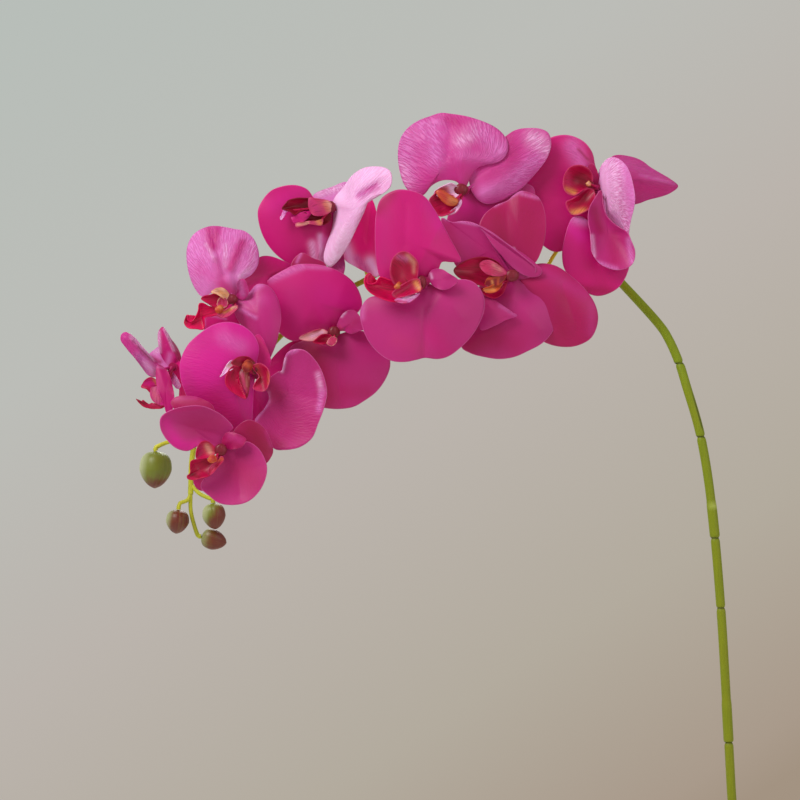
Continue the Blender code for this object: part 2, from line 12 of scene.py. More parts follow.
import bpy
import numpy as np
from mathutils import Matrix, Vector


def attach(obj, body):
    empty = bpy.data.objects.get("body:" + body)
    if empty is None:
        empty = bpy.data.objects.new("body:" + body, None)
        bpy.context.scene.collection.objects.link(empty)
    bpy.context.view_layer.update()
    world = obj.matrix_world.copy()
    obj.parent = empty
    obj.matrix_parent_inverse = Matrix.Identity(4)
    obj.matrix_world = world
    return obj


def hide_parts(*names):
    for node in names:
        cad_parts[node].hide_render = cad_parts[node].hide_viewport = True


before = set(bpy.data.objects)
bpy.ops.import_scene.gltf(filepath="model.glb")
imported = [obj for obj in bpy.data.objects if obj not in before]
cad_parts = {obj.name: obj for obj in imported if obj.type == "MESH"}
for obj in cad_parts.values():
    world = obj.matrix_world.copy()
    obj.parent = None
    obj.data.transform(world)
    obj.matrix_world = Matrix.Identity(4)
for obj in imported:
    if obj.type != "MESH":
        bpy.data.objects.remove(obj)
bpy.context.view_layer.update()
MM = 0.001

# %% [markdown]
# ## The camera
#
# The photograph looks level at the spray from about a metre and a half, a little left of the vase and
# half a metre up, so it sees 0.56 m across and cuts the stem off above the vase. A camera's lens
# follows from that width: lens = sensor width x distance / width seen.

# %% Camera
CAMERA_PLACE = (-0.2394, -1.5, 0.495)
WIDTH_SEEN = 0.56
SENSOR = 36.0

view = bpy.data.cameras.new("view")
view.sensor_width = SENSOR
view.lens = SENSOR * -CAMERA_PLACE[1] / WIDTH_SEEN
camera = bpy.data.objects.new("camera", view)
camera.location = CAMERA_PLACE
camera.rotation_euler = (pi / 2, 0, 0)
bpy.context.scene.collection.objects.link(camera)
bpy.context.scene.camera = camera
print("lens", round(view.lens, 1), "mm")

# %% [markdown]
# ## Light, floor and background
#
# The photograph has soft light from the upper left, and a plain background that goes from a cool grey
# at the top left to a warm beige at the bottom right. A sheet behind the object would hide it from the
# back, so the background is the world's own colour, which changes with the direction looked in. A round
# pale floor carries the vase. One large lamp gives the soft light, a weaker one lightens the shade from
# the right, and a third lights the edges from behind.

# %% Colours are written as the screen shows them, 0 to 255
def colour(red, green, blue):
    """The linear colour that a shader needs, from one as the screen shows it."""
    shown = np.array((red, green, blue)) / 255
    linear = np.where(shown < 0.04045, shown / 12.92, ((shown + 0.055) / 1.055) ** 2.4)
    return (*linear.tolist(), 1.0)


# %% Shader maths as Python expressions
class Signal:
    """One socket of a shader. Python's operators add Math nodes to it."""

    def __init__(self, surface, socket):
        self.surface = surface
        self.socket = socket

    def math(self, operation, *others):
        values = dict(enumerate((self, *others)))
        return self.surface.node("ShaderNodeMath", {"operation": operation}, values)

    def __add__(self, other):
        return self.math("ADD", other)

    def __mul__(self, other):
        return self.math("MULTIPLY", other)

    def __sub__(self, other):
        return self.math("SUBTRACT", other)

    def __rsub__(self, other):
        return self.surface.node("ShaderNodeMath", {"operation": "SUBTRACT"}, {0: other, 1: self})

    def __truediv__(self, other):
        return self.math("DIVIDE", other)

    __radd__ = __add__
    __rmul__ = __mul__


class Surface:
    """A material that is being made, or the world's colour."""

    def __init__(self, owner):
        owner.use_nodes = True
        self.owner = owner
        self.tree = owner.node_tree
        self.tree.nodes.clear()

    def node(self, kind, settings, inputs, output=0):
        """Any node: its settings, then the values or links of its sockets. Returns one output, if any."""
        made = self.tree.nodes.new(kind)
        for name, value in settings.items():
            if name == "stops":
                self.set_stops(made.color_ramp, value)
            else:
                setattr(made, name, value)
        for name, value in inputs.items():
            if isinstance(value, Signal):
                self.tree.links.new(value.socket, made.inputs[name])
            else:
                made.inputs[name].default_value = value
        return Signal(self, made.outputs[output]) if made.outputs else None

    def set_stops(self, ramp, stops):
        while len(ramp.elements) < len(stops):
            ramp.elements.new(0.5)
        for element, (place, tint) in zip(ramp.elements, stops):
            element.position = place
            element.color = tint

    def attribute(self, name, output):
        """What each point of the mesh carries under this name."""
        return self.node("ShaderNodeAttribute", {"attribute_name": name}, {}, output)

    def place(self):
        """Where a point is, in the object's own metres."""
        return self.node("ShaderNodeTexCoord", {}, {}, "Object")

    def split(self, vector):
        parts = self.node("ShaderNodeSeparateXYZ", {}, {"Vector": vector})
        outputs = parts.socket.node.outputs
        return [Signal(self, outputs[axis]) for axis in range(3)]

    def vector(self, x, y, z):
        return self.node("ShaderNodeCombineXYZ", {}, {"X": x, "Y": y, "Z": z})

    def noise(self, vector, scale, detail):
        return self.node("ShaderNodeTexNoise", {}, {"Vector": vector, "Scale": scale, "Detail": detail})

    def step(self, signal, low, high):
        """A smooth step from 0 to 1 as the signal goes from low to high."""
        return self.node("ShaderNodeMapRange", {"interpolation_type": "SMOOTHSTEP"},
                         {"Value": signal, "From Min": low, "From Max": high})

    def mix(self, factor, first, second):
        """A colour between two: factor 0 gives the first. The node's colour sockets have numbers."""
        return self.node("ShaderNodeMix", {"data_type": "RGBA"}, {0: factor, 6: first, 7: second}, 2)

    def bump(self, height, distance, strength):
        inputs = {"Height": height, "Distance": distance, "Strength": strength}
        return self.node("ShaderNodeBump", {}, inputs)

    def finish(self, **values):
        """Ends the material in one shader. An underscore in a name stands for a space."""
        inputs = {name.replace("_", " "): value for name, value in values.items()}
        shader = self.node("ShaderNodeBsdfPrincipled", {}, inputs)
        self.node("ShaderNodeOutputMaterial", {}, {"Surface": shader})
        return self.owner


def new_surface(name):
    return Surface(bpy.data.materials.new(name))


# %% The world's colour, from the direction looked in
COOL_GREY = colour(184, 190, 185)
PALE_GREY = colour(188, 189, 184)
WARM_GREY = colour(187, 180, 173)
BEIGE = colour(179, 171, 158)
TAN = colour(169, 154, 139)
CORNER = colour(163, 147, 130)
# Where the colours lie from the bottom right of the frame, 0, to its top left, 1
SHADES = [
    (0.0, CORNER), (0.035, TAN), (0.19, BEIGE), (0.4, WARM_GREY), (0.61, PALE_GREY), (0.86, COOL_GREY),
]
MIDDLE_SHADE = 0.43
UPWARD_SHARE = 1.5
# The change shows only ahead: how far ahead a direction points where it begins and where it is whole
SLOPE_BEGINS = 0.75
SLOPE_WHOLE = 0.95

sky = Surface(bpy.data.worlds.new("plain background"))
bpy.context.scene.world = sky.owner
direction = sky.node("ShaderNodeTexCoord", {}, {}, "Generated")
right, ahead, up = sky.split(direction)
facing = sky.step(ahead, SLOPE_BEGINS, SLOPE_WHOLE)
shade = MIDDLE_SHADE + (up * UPWARD_SHARE - right) * facing
backdrop = sky.node("ShaderNodeValToRGB", {"stops": SHADES}, {"Fac": shade})
glow = sky.node("ShaderNodeBackground", {}, {"Color": backdrop, "Strength": 1.0})
sky.node("ShaderNodeOutputWorld", {}, {"Surface": glow})
bpy.context.scene.view_settings.view_transform = "Standard"
print("world", sky.owner.name)


# %% Lamps
SPRAY_MIDDLE = (-0.22, 0.0, 0.52)


def lamp(name, place, size, watts, tint):
    """A round lamp that points at the middle of the spray."""
    light = bpy.data.lights.new(name, "AREA")
    light.shape = "DISK"
    light.size = size
    light.energy = watts
    light.color = tint
    made = bpy.data.objects.new(name, light)
    made.location = place
    made.rotation_euler = (Vector(SPRAY_MIDDLE) - Vector(place)).to_track_quat("-Z", "Y").to_euler()
    bpy.context.scene.collection.objects.link(made)


lamp("key", place=(-1.3, -1.0, 1.75), size=1.0, watts=26, tint=(1.0, 0.98, 0.95))
lamp("fill", place=(1.1, -1.3, 0.9), size=1.2, watts=6, tint=(1.0, 0.95, 0.9))
lamp("behind", place=(-0.3, 1.3, 1.3), size=0.9, watts=9, tint=(1.0, 1.0, 1.0))


# %% Floor
def deselect():
    bpy.ops.object.select_all(action="DESELECT")


FLOOR_RADIUS = 1.0
FLOOR_SIDES = 96
FLOOR_DARK = colour(222, 219, 213)
FLOOR_LIGHT = colour(230, 228, 223)

deselect()
bpy.ops.mesh.primitive_circle_add(
    vertices=FLOOR_SIDES, radius=FLOOR_RADIUS, fill_type="NGON", location=(0, 0, 0))
floor = bpy.context.object
floor.name = "floor"
pale = new_surface("pale floor")
grain = pale.noise(pale.place(), 30.0, 4.0)
floor.data.materials.append(pale.finish(Base_Color=pale.mix(grain, FLOOR_DARK, FLOOR_LIGHT), Roughness=0.8))

# %% [markdown]
# ## The petal's shape
#
# A real petal is a thin sheet that is cut to its outline and then pressed: domed or cupped, creased
# along a line, its margin a little wavy. It could be drawn point by point, but every petal is the same
# kind of sheet, so one recipe makes them all. The outline is a list of edge points as they are seen in
# the 800 pixel frame, and each petal's row says how far in front of the bloom's heart its parts lie.
# The camera's geometry then turns a pixel and a depth into one place, so the outline is right from the
# front and the sheet has its true hollow from the side.

# %% From a pixel and a depth to a place
FRAME = 800
PIXEL = WIDTH_SEEN / MM / FRAME
EYE_X, EYE_Y, EYE_Z = (value / MM for value in CAMERA_PLACE)


def seen(right, down, y):
    """The place in millimetres, at the depth y, that the camera sees at a pixel."""
    spread = PIXEL * (y - EYE_Y) / -EYE_Y
    across = EYE_X + (right - FRAME / 2) * spread
    upward = EYE_Z + (FRAME / 2 - down) * spread
    return np.stack((across, y, upward), -1)


print("a pixel is", round(float(PIXEL), 2), "mm in the vase's plane")


# %% What a petal's row says
def leaf(tone, tip, at, ahead, lifts, belly, margin, folds=(), marks=(), sheen=0.0, ripple=0.5, rim=None):
    """One petal or lobe. tone: its colour, for some petals partly painted light and shade. margin: its
    edge in pixels, from the root round to the root. tip: which point of the margin is the tip. at: how far
    the root lies in front of the heart, and ahead: how much further the tip comes, in millimetres. lifts:
    how far the two sides come to the viewer, the side listed first before the other. belly: how far the
    middle does. folds: creases, each from a pixel to a pixel with a width in pixels and a height, negative
    for a valley. marks: strokes of another colour, each from a pixel to a pixel with a width, a colour and
    a strength, many of them painted sheen, highlights and shade. sheen: how strongly the veins, and the
    painted shade between them, show all over. ripple: height of the margin's waves. rim: a lip's rim
    colour."""
    return dict(tone=tone, tip=tip, at=at, ahead=ahead, lifts=lifts, belly=belly, margin=margin,
                folds=folds, marks=marks, sheen=sheen, ripple=ripple, rim=rim or tone)


# %% A smooth curve through points
def between(before, start, end, after, t):
    """The place at the share t of the way from start to end, on a curve that also heeds the two
    neighbours, so that it runs smoothly through all of them."""
    return 0.5 * (2 * start + (end - before) * t
                  + (2 * before - 5 * start + 4 * end - after) * t * t
                  + (3 * start - before - 3 * end + after) * t ** 3)


# %% A smooth margin through the edge points
STEPS_A_SIDE = 12


def smooth_margin(points, tip):
    """The closed margin as a fine line: for each of its points the angle round the petal, from pi at
    the root through 0 at the tip to -pi, and its pixel."""
    points = np.array(points, float)
    closed = np.vstack((points, points[:1]))
    spans = np.linalg.norm(np.diff(closed, axis=0), axis=1)
    travelled = np.concatenate(([0], np.cumsum(spans)))
    share = np.where(travelled <= travelled[tip], travelled / travelled[tip],
                     1 + (travelled - travelled[tip]) / (travelled[-1] - travelled[tip]))
    before, after = np.roll(points, 1, 0), np.roll(points, -2, 0)
    angles, places = [], []
    for i, (start, end) in enumerate(zip(closed, closed[1:])):
        for step in range(STEPS_A_SIDE):
            t = step / STEPS_A_SIDE
            angles.append(pi * (1 - share[i] - (share[i + 1] - share[i]) * t))
            places.append(between(before[i], start, end, after[i], t))
    return np.array([*angles, -pi]), np.vstack((places, points[:1]))


# %% How near each point is to a stroke
def stroke(pixels, start, end):
    """Distance in pixels from each point to the line from start to end."""
    start, way = np.array(start, float), np.subtract(end, start).astype(float)
    along = np.clip((pixels - start) @ way / max(way @ way, 1e-6), 0, 1)
    return np.linalg.norm(pixels - start - np.outer(along, way), axis=1)


# %% The petal formula
MARGIN_WAVES = 5


def petal_pixels(petal, p, q):
    """Pixels for p along a petal (-1 root, 1 tip) and q across it (1 first side, -1 other side)."""
    angles, places = smooth_margin(petal["margin"], petal["tip"])
    middle = places.mean(0)
    around = np.arctan2(q, p)
    edge = np.column_stack([np.interp(around, angles[::-1], places[::-1, axis]) for axis in (0, 1)])
    return middle + (edge - middle) * np.hypot(p, q)[:, None]


def petal_points(heart, petal, p, q):
    """Places in millimetres for the same p and q."""
    pixels = petal_pixels(petal, p, q)
    squared = p * p + q * q
    front = petal["at"] + petal["ahead"] * (p + 1) / 2 + petal["belly"] * (1 - squared)
    front += np.where(q > 0, petal["lifts"][0], petal["lifts"][1]) * q * q
    front += petal["ripple"] * squared ** 3 * np.sin(MARGIN_WAVES * np.arctan2(q, p) + petal["tip"])
    for start, end, width, height in petal["folds"]:
        front += height * np.exp(-stroke(pixels, start, end) / width)
    return seen(pixels[:, 0], pixels[:, 1], heart[1] - front)


def petal_tones(petal, p, q):
    """Each point's colour, painted light and shade included, and how strongly the veins show there. Lilac
    and pale strokes are painted sheen, so they raise it.
    """
    pixels = petal_pixels(petal, p, q)
    tones = np.tile(petal["tone"], (len(p), 1))
    sheen = np.full(len(p), petal["sheen"])
    for start, end, width, tint, strength in petal["marks"]:
        cover = strength * np.exp(-((stroke(pixels, start, end) / width) ** 2))
        tones += (np.array(tint) - tones) * cover[:, None]
        if tint in (LILAC, PALE):
            sheen += cover
    return tones, np.minimum(sheen, 1)


# %% [markdown]
# ## From the formula to a petal
#
# Each petal starts as a grid primitive whose points are moved to their places, then Solidify gives the
# sheet its half millimetre. Attributes go along with each point, because a petal's colour and veins
# follow the petal and not the room: "spot" holds where the point is on the petal, "tone" and "rim" its
# colours, with the painted light and shade in them, and "sheen" how strongly the veins, and the painted
# shade between them, show.

# %% Attributes on a mesh
FIELDS = {"FLOAT_COLOR": "color", "FLOAT_VECTOR": "vector", "FLOAT": "value"}


def remember(mesh, name, kind, rows):
    """Writes one row for each point of the mesh."""
    made = mesh.attributes.new(name, kind, "POINT")
    made.data.foreach_set(FIELDS[kind], np.ravel(rows).astype(np.float32))


def paint(mesh, spots, tones, rim, sheen=0.0):
    """Gives a mesh its attributes. Spots are a row for each point, and one tone can stand for all."""
    count = len(mesh.vertices)
    remember(mesh, "spot", "FLOAT_VECTOR", spots)
    remember(mesh, "tone", "FLOAT_COLOR", tones if len(tones) == count else np.tile(tones, (count, 1)))
    remember(mesh, "rim", "FLOAT_COLOR", np.tile(rim, (count, 1)))
    remember(mesh, "sheen", "FLOAT", np.zeros(count) + sheen)


def points_of(mesh):
    """The places of the mesh's points, a row for each, in the mesh's own unit."""
    places = np.empty(len(mesh.vertices) * 3)
    mesh.vertices.foreach_get("co", places)
    return places.reshape(-1, 3)


def place_points(mesh, places):
    """Moves the mesh's points, given in millimetres."""
    mesh.vertices.foreach_set("co", np.ravel(places) * MM)
    mesh.update()


# %% One petal
PETAL_ROWS = 48
LOBE_ROWS = 28
SHEET_THICK = 0.5


def petal_piece(heart, petal, rows, seed):
    """A petal or a lobe with its thickness, from a grid."""
    deselect()
    bpy.ops.mesh.primitive_grid_add(x_subdivisions=rows, y_subdivisions=rows, size=2)
    made = bpy.context.object
    x, y, _ = points_of(made.data).T
    p, q = x * np.sqrt(1 - y * y / 2), y * np.sqrt(1 - x * x / 2)
    tones, sheen = petal_tones(petal, p, q)
    paint(made.data, np.column_stack((p, q, np.full_like(p, seed))), tones, petal["rim"], sheen)
    place_points(made.data, petal_points(heart, petal, p, q))
    sheet = made.modifiers.new("Thickness", "SOLIDIFY")
    sheet.thickness = SHEET_THICK * MM
    sheet.offset = 0
    bpy.ops.object.modifier_apply(modifier=sheet.name)
    bpy.ops.object.shade_smooth()
    return made


def rod(start, end, radius_start, radius_end, tone, sides=12):
    """A tapered round rod between two places in millimetres."""
    start, end = Vector(start), Vector(end)
    way = end - start
    deselect()
    bpy.ops.mesh.primitive_cone_add(
        vertices=sides, radius1=radius_start * MM, radius2=radius_end * MM, depth=way.length * MM,
        location=(start + end) / 2 * MM, rotation=way.to_track_quat("Z", "Y").to_euler())
    made = bpy.context.object
    bpy.ops.object.transform_apply(location=True, rotation=True, scale=True)
    paint(made.data, np.zeros((len(made.data.vertices), 3)), tone, tone)
    bpy.ops.object.shade_smooth_by_angle(angle=radians(50))
    return made


def join(pieces, name):
    """Makes one object of several."""
    deselect()
    for piece in pieces:
        piece.select_set(True)
    bpy.context.view_layer.objects.active = pieces[0]
    bpy.ops.object.join()
    made = bpy.context.object
    made.name = made.data.name = name
    return made


def dress(piece, look, slot, *nodes):
    """The last step of every piece: its material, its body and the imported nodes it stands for."""
    piece.data.materials.clear()
    piece.data.materials.append(look)
    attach(piece, "root")
    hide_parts(*nodes)
    print(piece.name, len(piece.data.polygons), "faces")


# %% [markdown]
# ## The blooms' colours
#
# The petals share one magenta, but they differ: those that face the light turn lilac, those in the
# shade crimson, and those that light falls through mauve. Part of that is in the cloth itself, and much
# of it is painted light and shade: each petal has its own tone, and strokes of a lighter or deeper one
# that paint its sheen, highlights and shade. The lips are red inside, with golden, cream or pink rims.

# %% Tones
# Several tones and strokes paint light and shade. LILAC, PALE, PEARL and ICE are mostly painted sheen and
# highlights, and their smallest strokes are painted glints. DEEP and CRIMSON strokes are mostly painted
# shade, and MAUVE is partly painted light falling through. HOT, and in part BRIGHT and CHERRY, are painted
# light that lifts petals and lips lying in shade. In the lips the WINE strokes inside the hollows are
# partly the deep red itself and partly painted shade.
MAGENTA = colour(198, 14, 118)
BRIGHT = colour(208, 20, 142)
ROSE = colour(200, 54, 146)
MAUVE = colour(181, 38, 120)
CRIMSON = colour(166, 10, 86)
DEEP = colour(140, 8, 56)
LILAC = colour(221, 122, 200)
PALE = colour(250, 194, 244)
RED = colour(184, 4, 72)
WINE = colour(124, 6, 36)
PINK = colour(196, 54, 106)
ORANGE = colour(196, 80, 46)
GOLD = colour(218, 146, 84)
PEARL = colour(255, 198, 250)
ICE = colour(255, 214, 255)
CREAM = colour(232, 180, 156)
BLUSH = colour(224, 152, 160)
FUCHSIA = colour(190, 0, 116)
HOT = colour(236, 8, 132)
CHERRY = colour(216, 2, 88)
COLUMN = colour(124, 28, 48)

# %% [markdown]
# ## The ten blooms, row by row
#
# Each bloom has a heart, in millimetres, its petals, its lip's lobes and the knob of its column, whose
# middle is measured from the heart. They are listed from the stem's side to the tip of the spray. Some
# face the viewer, some turn away, and the ninth is seen from its side, so no two have the same rows.

# %% The first bloom, at the right
BLOOMS = {}
BLOOMS["01"] = dict(
    heart=(-101, 10, 644),
    petals={
        "left wing": leaf(
            MAGENTA, 10, 0, 0, (4, 3), 4,
            [(596, 186), (598, 176), (595, 165), (592, 152), (583, 141), (568, 135), (552, 137),
             (536, 146), (520, 160), (510, 180), (516, 205), (530, 232), (545, 247), (556, 252),
             (568, 248), (582, 236), (594, 220), (598, 203)],
            folds=[((577, 150), (593, 168), 3, 1.6), ((578, 152), (571, 190), 9, -1.2)],
            # The lilac stroke is painted sheen, and the crimson and deep strokes are painted shade in the
            # fold.
            marks=[((572, 146), (582, 166), 9, LILAC, .65), ((590, 150), (594, 172), 4, CRIMSON, .7),
                   ((578, 149), (588, 160), 1.5, DEEP, .7), ((540, 165), (548, 215), 14, CRIMSON, .5)]),
        "right wing": leaf(
            LILAC, 8, 0, 42, (-6, -8), 5,
            [(598, 188), (598, 176), (602, 165), (609, 158), (617, 158), (625, 164), (630, 173),
             (633, 184), (635, 197), (634, 208), (631, 220), (629, 232), (628, 243), (621, 234),
             (613, 226), (606, 221), (602, 210), (600, 198)],
            folds=[((606, 166), (607, 214), 4, 1.5)],
            # The pale and pearl strokes are this wing's painted highlight.
            marks=[((614, 166), (618, 205), 8, PALE, .9), ((602, 172), (604, 196), 4, PEARL, .6),
                   ((606, 164), (612, 210), 5, PEARL, .5), ((621, 210), (628, 234), 6, PALE, .7)],
            sheen=.4),
        "folded lobe": leaf(
            MAUVE, 8, 16, 11, (3, 5), -4,
            [(601, 190), (594, 199), (589, 209), (588, 221), (590, 232), (591, 243), (592, 252),
             (598, 262), (608, 268), (619, 270), (629, 267), (634, 261), (635, 251), (631, 240),
             (627, 232), (616, 225), (607, 216), (603, 204)],
            # The pale and lilac strokes on its rims are painted highlights, and the deep and crimson
            # strokes painted shade.
            marks=[((592, 236), (594, 256), 2, PALE, .6), ((598, 263), (616, 269), 2.5, LILAC, .8),
                   ((629, 240), (632, 262), 3, LILAC, .8), ((594, 210), (600, 230), 6, DEEP, .6),
                   ((614, 238), (616, 258), 9, CRIMSON, .7)]),
        "back sepal": leaf(
            MAUVE, 9, -3, -11, (-3, 2), 4,
            [(600, 184), (602, 168), (610, 158), (618, 155), (632, 157), (642, 161), (650, 167),
             (660, 173), (670, 179), (678, 186), (672, 192), (663, 196), (648, 200), (637, 204),
             (620, 206), (605, 197)],
            folds=[((628, 178), (672, 182), 2.5, 1.8), ((636, 166), (668, 178), 2, -1.2)],
            marks=[((624, 163), (660, 175), 8, LILAC, .3), ((640, 175), (674, 184), 1.5, LILAC, .5),
                   ((632, 188), (660, 190), 5, MAGENTA, .4)], sheen=.5),
        "lower sepal": leaf(
            MAGENTA, 11, 13, 2, (2, 1), 2,
            [(594, 212), (590, 223), (586, 219), (579, 216), (572, 218), (568, 226), (564, 240),
             (562, 254), (564, 268), (572, 281), (583, 291), (597, 296), (610, 293), (620, 286),
             (627, 274), (629, 262), (622, 244), (610, 225), (600, 214)],
            folds=[((592, 228), (598, 262), 7, -1.6)],
            marks=[((572, 220), (584, 220), 6, LILAC, .9), ((570, 226), (580, 236), 7, BRIGHT, .9),
                   ((590, 265), (604, 282), 12, CRIMSON, .5), ((582, 289), (612, 292), 5, DEEP, .6)]),
        "ear": leaf(
            CRIMSON, 4, 2, 4, (1, 1), 1,
            [(597, 187), (590, 181), (586, 172), (588, 166), (592, 163), (596, 168), (599, 178)]),
    },
    lip={
        "upper lobe": leaf(
            RED, 6, 8, 7, (3, 3), -5,
            [(591, 186), (593, 177), (590, 170), (584, 166), (577, 165), (569, 168), (564, 176),
             (563, 184), (565, 191), (570, 195), (576, 195), (584, 190)],
            marks=[((566, 189), (574, 193), 3, GOLD, .8), ((567, 172), (568, 184), 3.5, PINK, .7),
                   ((578, 178), (588, 184), 7, WINE, .8)], rim=PINK),
        "lower lobe": leaf(
            RED, 6, 8, 8, (2, 4), -4,
            [(591, 188), (585, 190), (578, 195), (572, 199), (566, 202), (567, 208), (571, 214),
             (577, 215), (584, 212), (591, 208), (595, 200), (595, 192)],
            marks=[((572, 213), (584, 211), 3.5, GOLD, .8), ((566, 202), (582, 192), 1.5, PINK, .6),
                   ((584, 194), (588, 202), 6, WINE, .6)], rim=PINK),
        "callus": leaf(
            GOLD, 3, 11, 2, (1, 1), 2,
            [(591, 184), (589, 181), (587, 182), (586, 184), (588, 186), (590, 186)],
            marks=[((588, 183), (589, 184), 1.2, CREAM, .8)], rim=ORANGE),
    },
    knob=((-5, -8, 2), (2.8, 2.8)),
)

# %% The second bloom, at the top
BLOOMS["02"] = dict(
    heart=(-194, -5, 641),
    petals={
        "upper wing": leaf(
            ROSE, 12, 2, -10, (-6, 1), 6,
            [(464, 189), (457, 182), (449, 180), (440, 181), (431, 186), (423, 195), (413, 194),
             (405, 186), (400, 172), (398, 155), (400, 140), (407, 129), (418, 121), (431, 116),
             (441, 113), (452, 114), (465, 116), (479, 120), (493, 126), (503, 134), (508, 144),
             (506, 155), (498, 162), (485, 165), (476, 169), (470, 179)],
            folds=[((449, 128), (447, 160), 5, -1.6), ((470, 130), (462, 160), 6, 1.4),
                   ((425, 135), (440, 165), 7, 1.2), ((492, 160), (506, 150), 4, 1)],
            marks=[((406, 138), (406, 176), 12, LILAC, 1), ((402, 166), (406, 184), 6, PALE, .5),
                   ((418, 128), (438, 124), 10, LILAC, .9), ((432, 134), (436, 160), 10, LILAC, .9),
                   ((462, 140), (477, 131), 8, PALE, .6), ((484, 132), (500, 150), 11, LILAC, .9),
                   ((448, 120), (456, 122), 6, MAUVE, .8), ((462, 155), (490, 158), 7, LILAC, .45),
                   ((446, 166), (460, 172), 9, MAUVE, .4)], sheen=.4),
        "right wing": leaf(
            ROSE, 10, -1, -2, (-1, 0), 3,
            [(470, 186), (469, 178), (473, 171), (480, 163), (492, 150), (505, 137), (516, 130),
             (529, 128), (541, 129), (549, 134), (551, 146), (546, 160), (535, 174), (522, 188),
             (510, 196), (498, 202), (487, 204), (478, 200), (472, 192)],
            folds=[((474, 178), (520, 150), 6, -1), ((480, 196), (520, 170), 8, 1)],
            marks=[((534, 138), (546, 150), 9, PALE, .75), ((514, 178), (536, 160), 10, LILAC, .9),
                   ((484, 192), (504, 186), 8, LILAC, .7), ((508, 138), (512, 158), 9, MAUVE, .8),
                   ((486, 176), (508, 170), 7, MAUVE, .4), ((474, 172), (470, 184), 3, LILAC, .5),
                   # The last stroke is a painted glint.
                   ((471, 186), (472, 186), 1.2, PALE, .9)], sheen=.4),
        "lower sepal": leaf(
            MAUVE, 6, -4, -4, (0, 0), 1,
            [(463, 188), (456, 199), (449, 212), (447, 226), (456, 238), (470, 246), (486, 246),
             (504, 240), (522, 222), (534, 202), (532, 186), (510, 182), (482, 184)],
            # The bright stroke is painted light that lifts the part lying in the wing's shadow.
            marks=[((468, 206), (496, 212), 12, BRIGHT, .7)]),
    },
    lip={
        "hood": leaf(
            PINK, 5, 9, 4, (2, 2), -3,
            [(461, 192), (457, 186), (451, 183), (445, 185), (439, 188), (434, 193), (442, 198),
             (453, 199)],
            # The ice stroke is the hood's pale colour, lifted by painted light where it lies in shade.
            marks=[((449, 185), (457, 192), 6, ICE, 1), ((436, 191), (445, 190), 3.5, ORANGE, .7),
                   ((446, 188), (448, 194), 2.5, RED, .4)], rim=PALE),
        "tongue": leaf(
            RED, 5, 9, 6, (2, 3), -3,
            [(459, 199), (449, 194), (439, 191), (432, 196), (429, 201), (433, 209), (439, 216),
             (447, 215), (455, 210)],
            marks=[((433, 198), (442, 204), 5, PINK, .5), ((440, 212), (446, 212), 3, WINE, .5)], rim=PINK),
        "callus": leaf(
            ORANGE, 4, 12, 3, (1, 2), 2,
            [(458, 200), (449, 194), (442, 190), (438, 190), (436, 193), (443, 202), (450, 206),
             (456, 205)],
            marks=[((450, 199), (456, 202), 3, GOLD, .5), ((440, 192), (446, 199), 2.5, RED, .35)],
            rim=ORANGE),
        "rim": leaf(
            PALE, 3, 9, 4, (1, 1), 0,
            [(461, 199), (458, 205), (453, 209), (447, 215), (454, 214), (459, 209), (462, 203)], rim=PINK),
    },
    knob=((-3, -8, 0), (4.9, 4.2)),
)

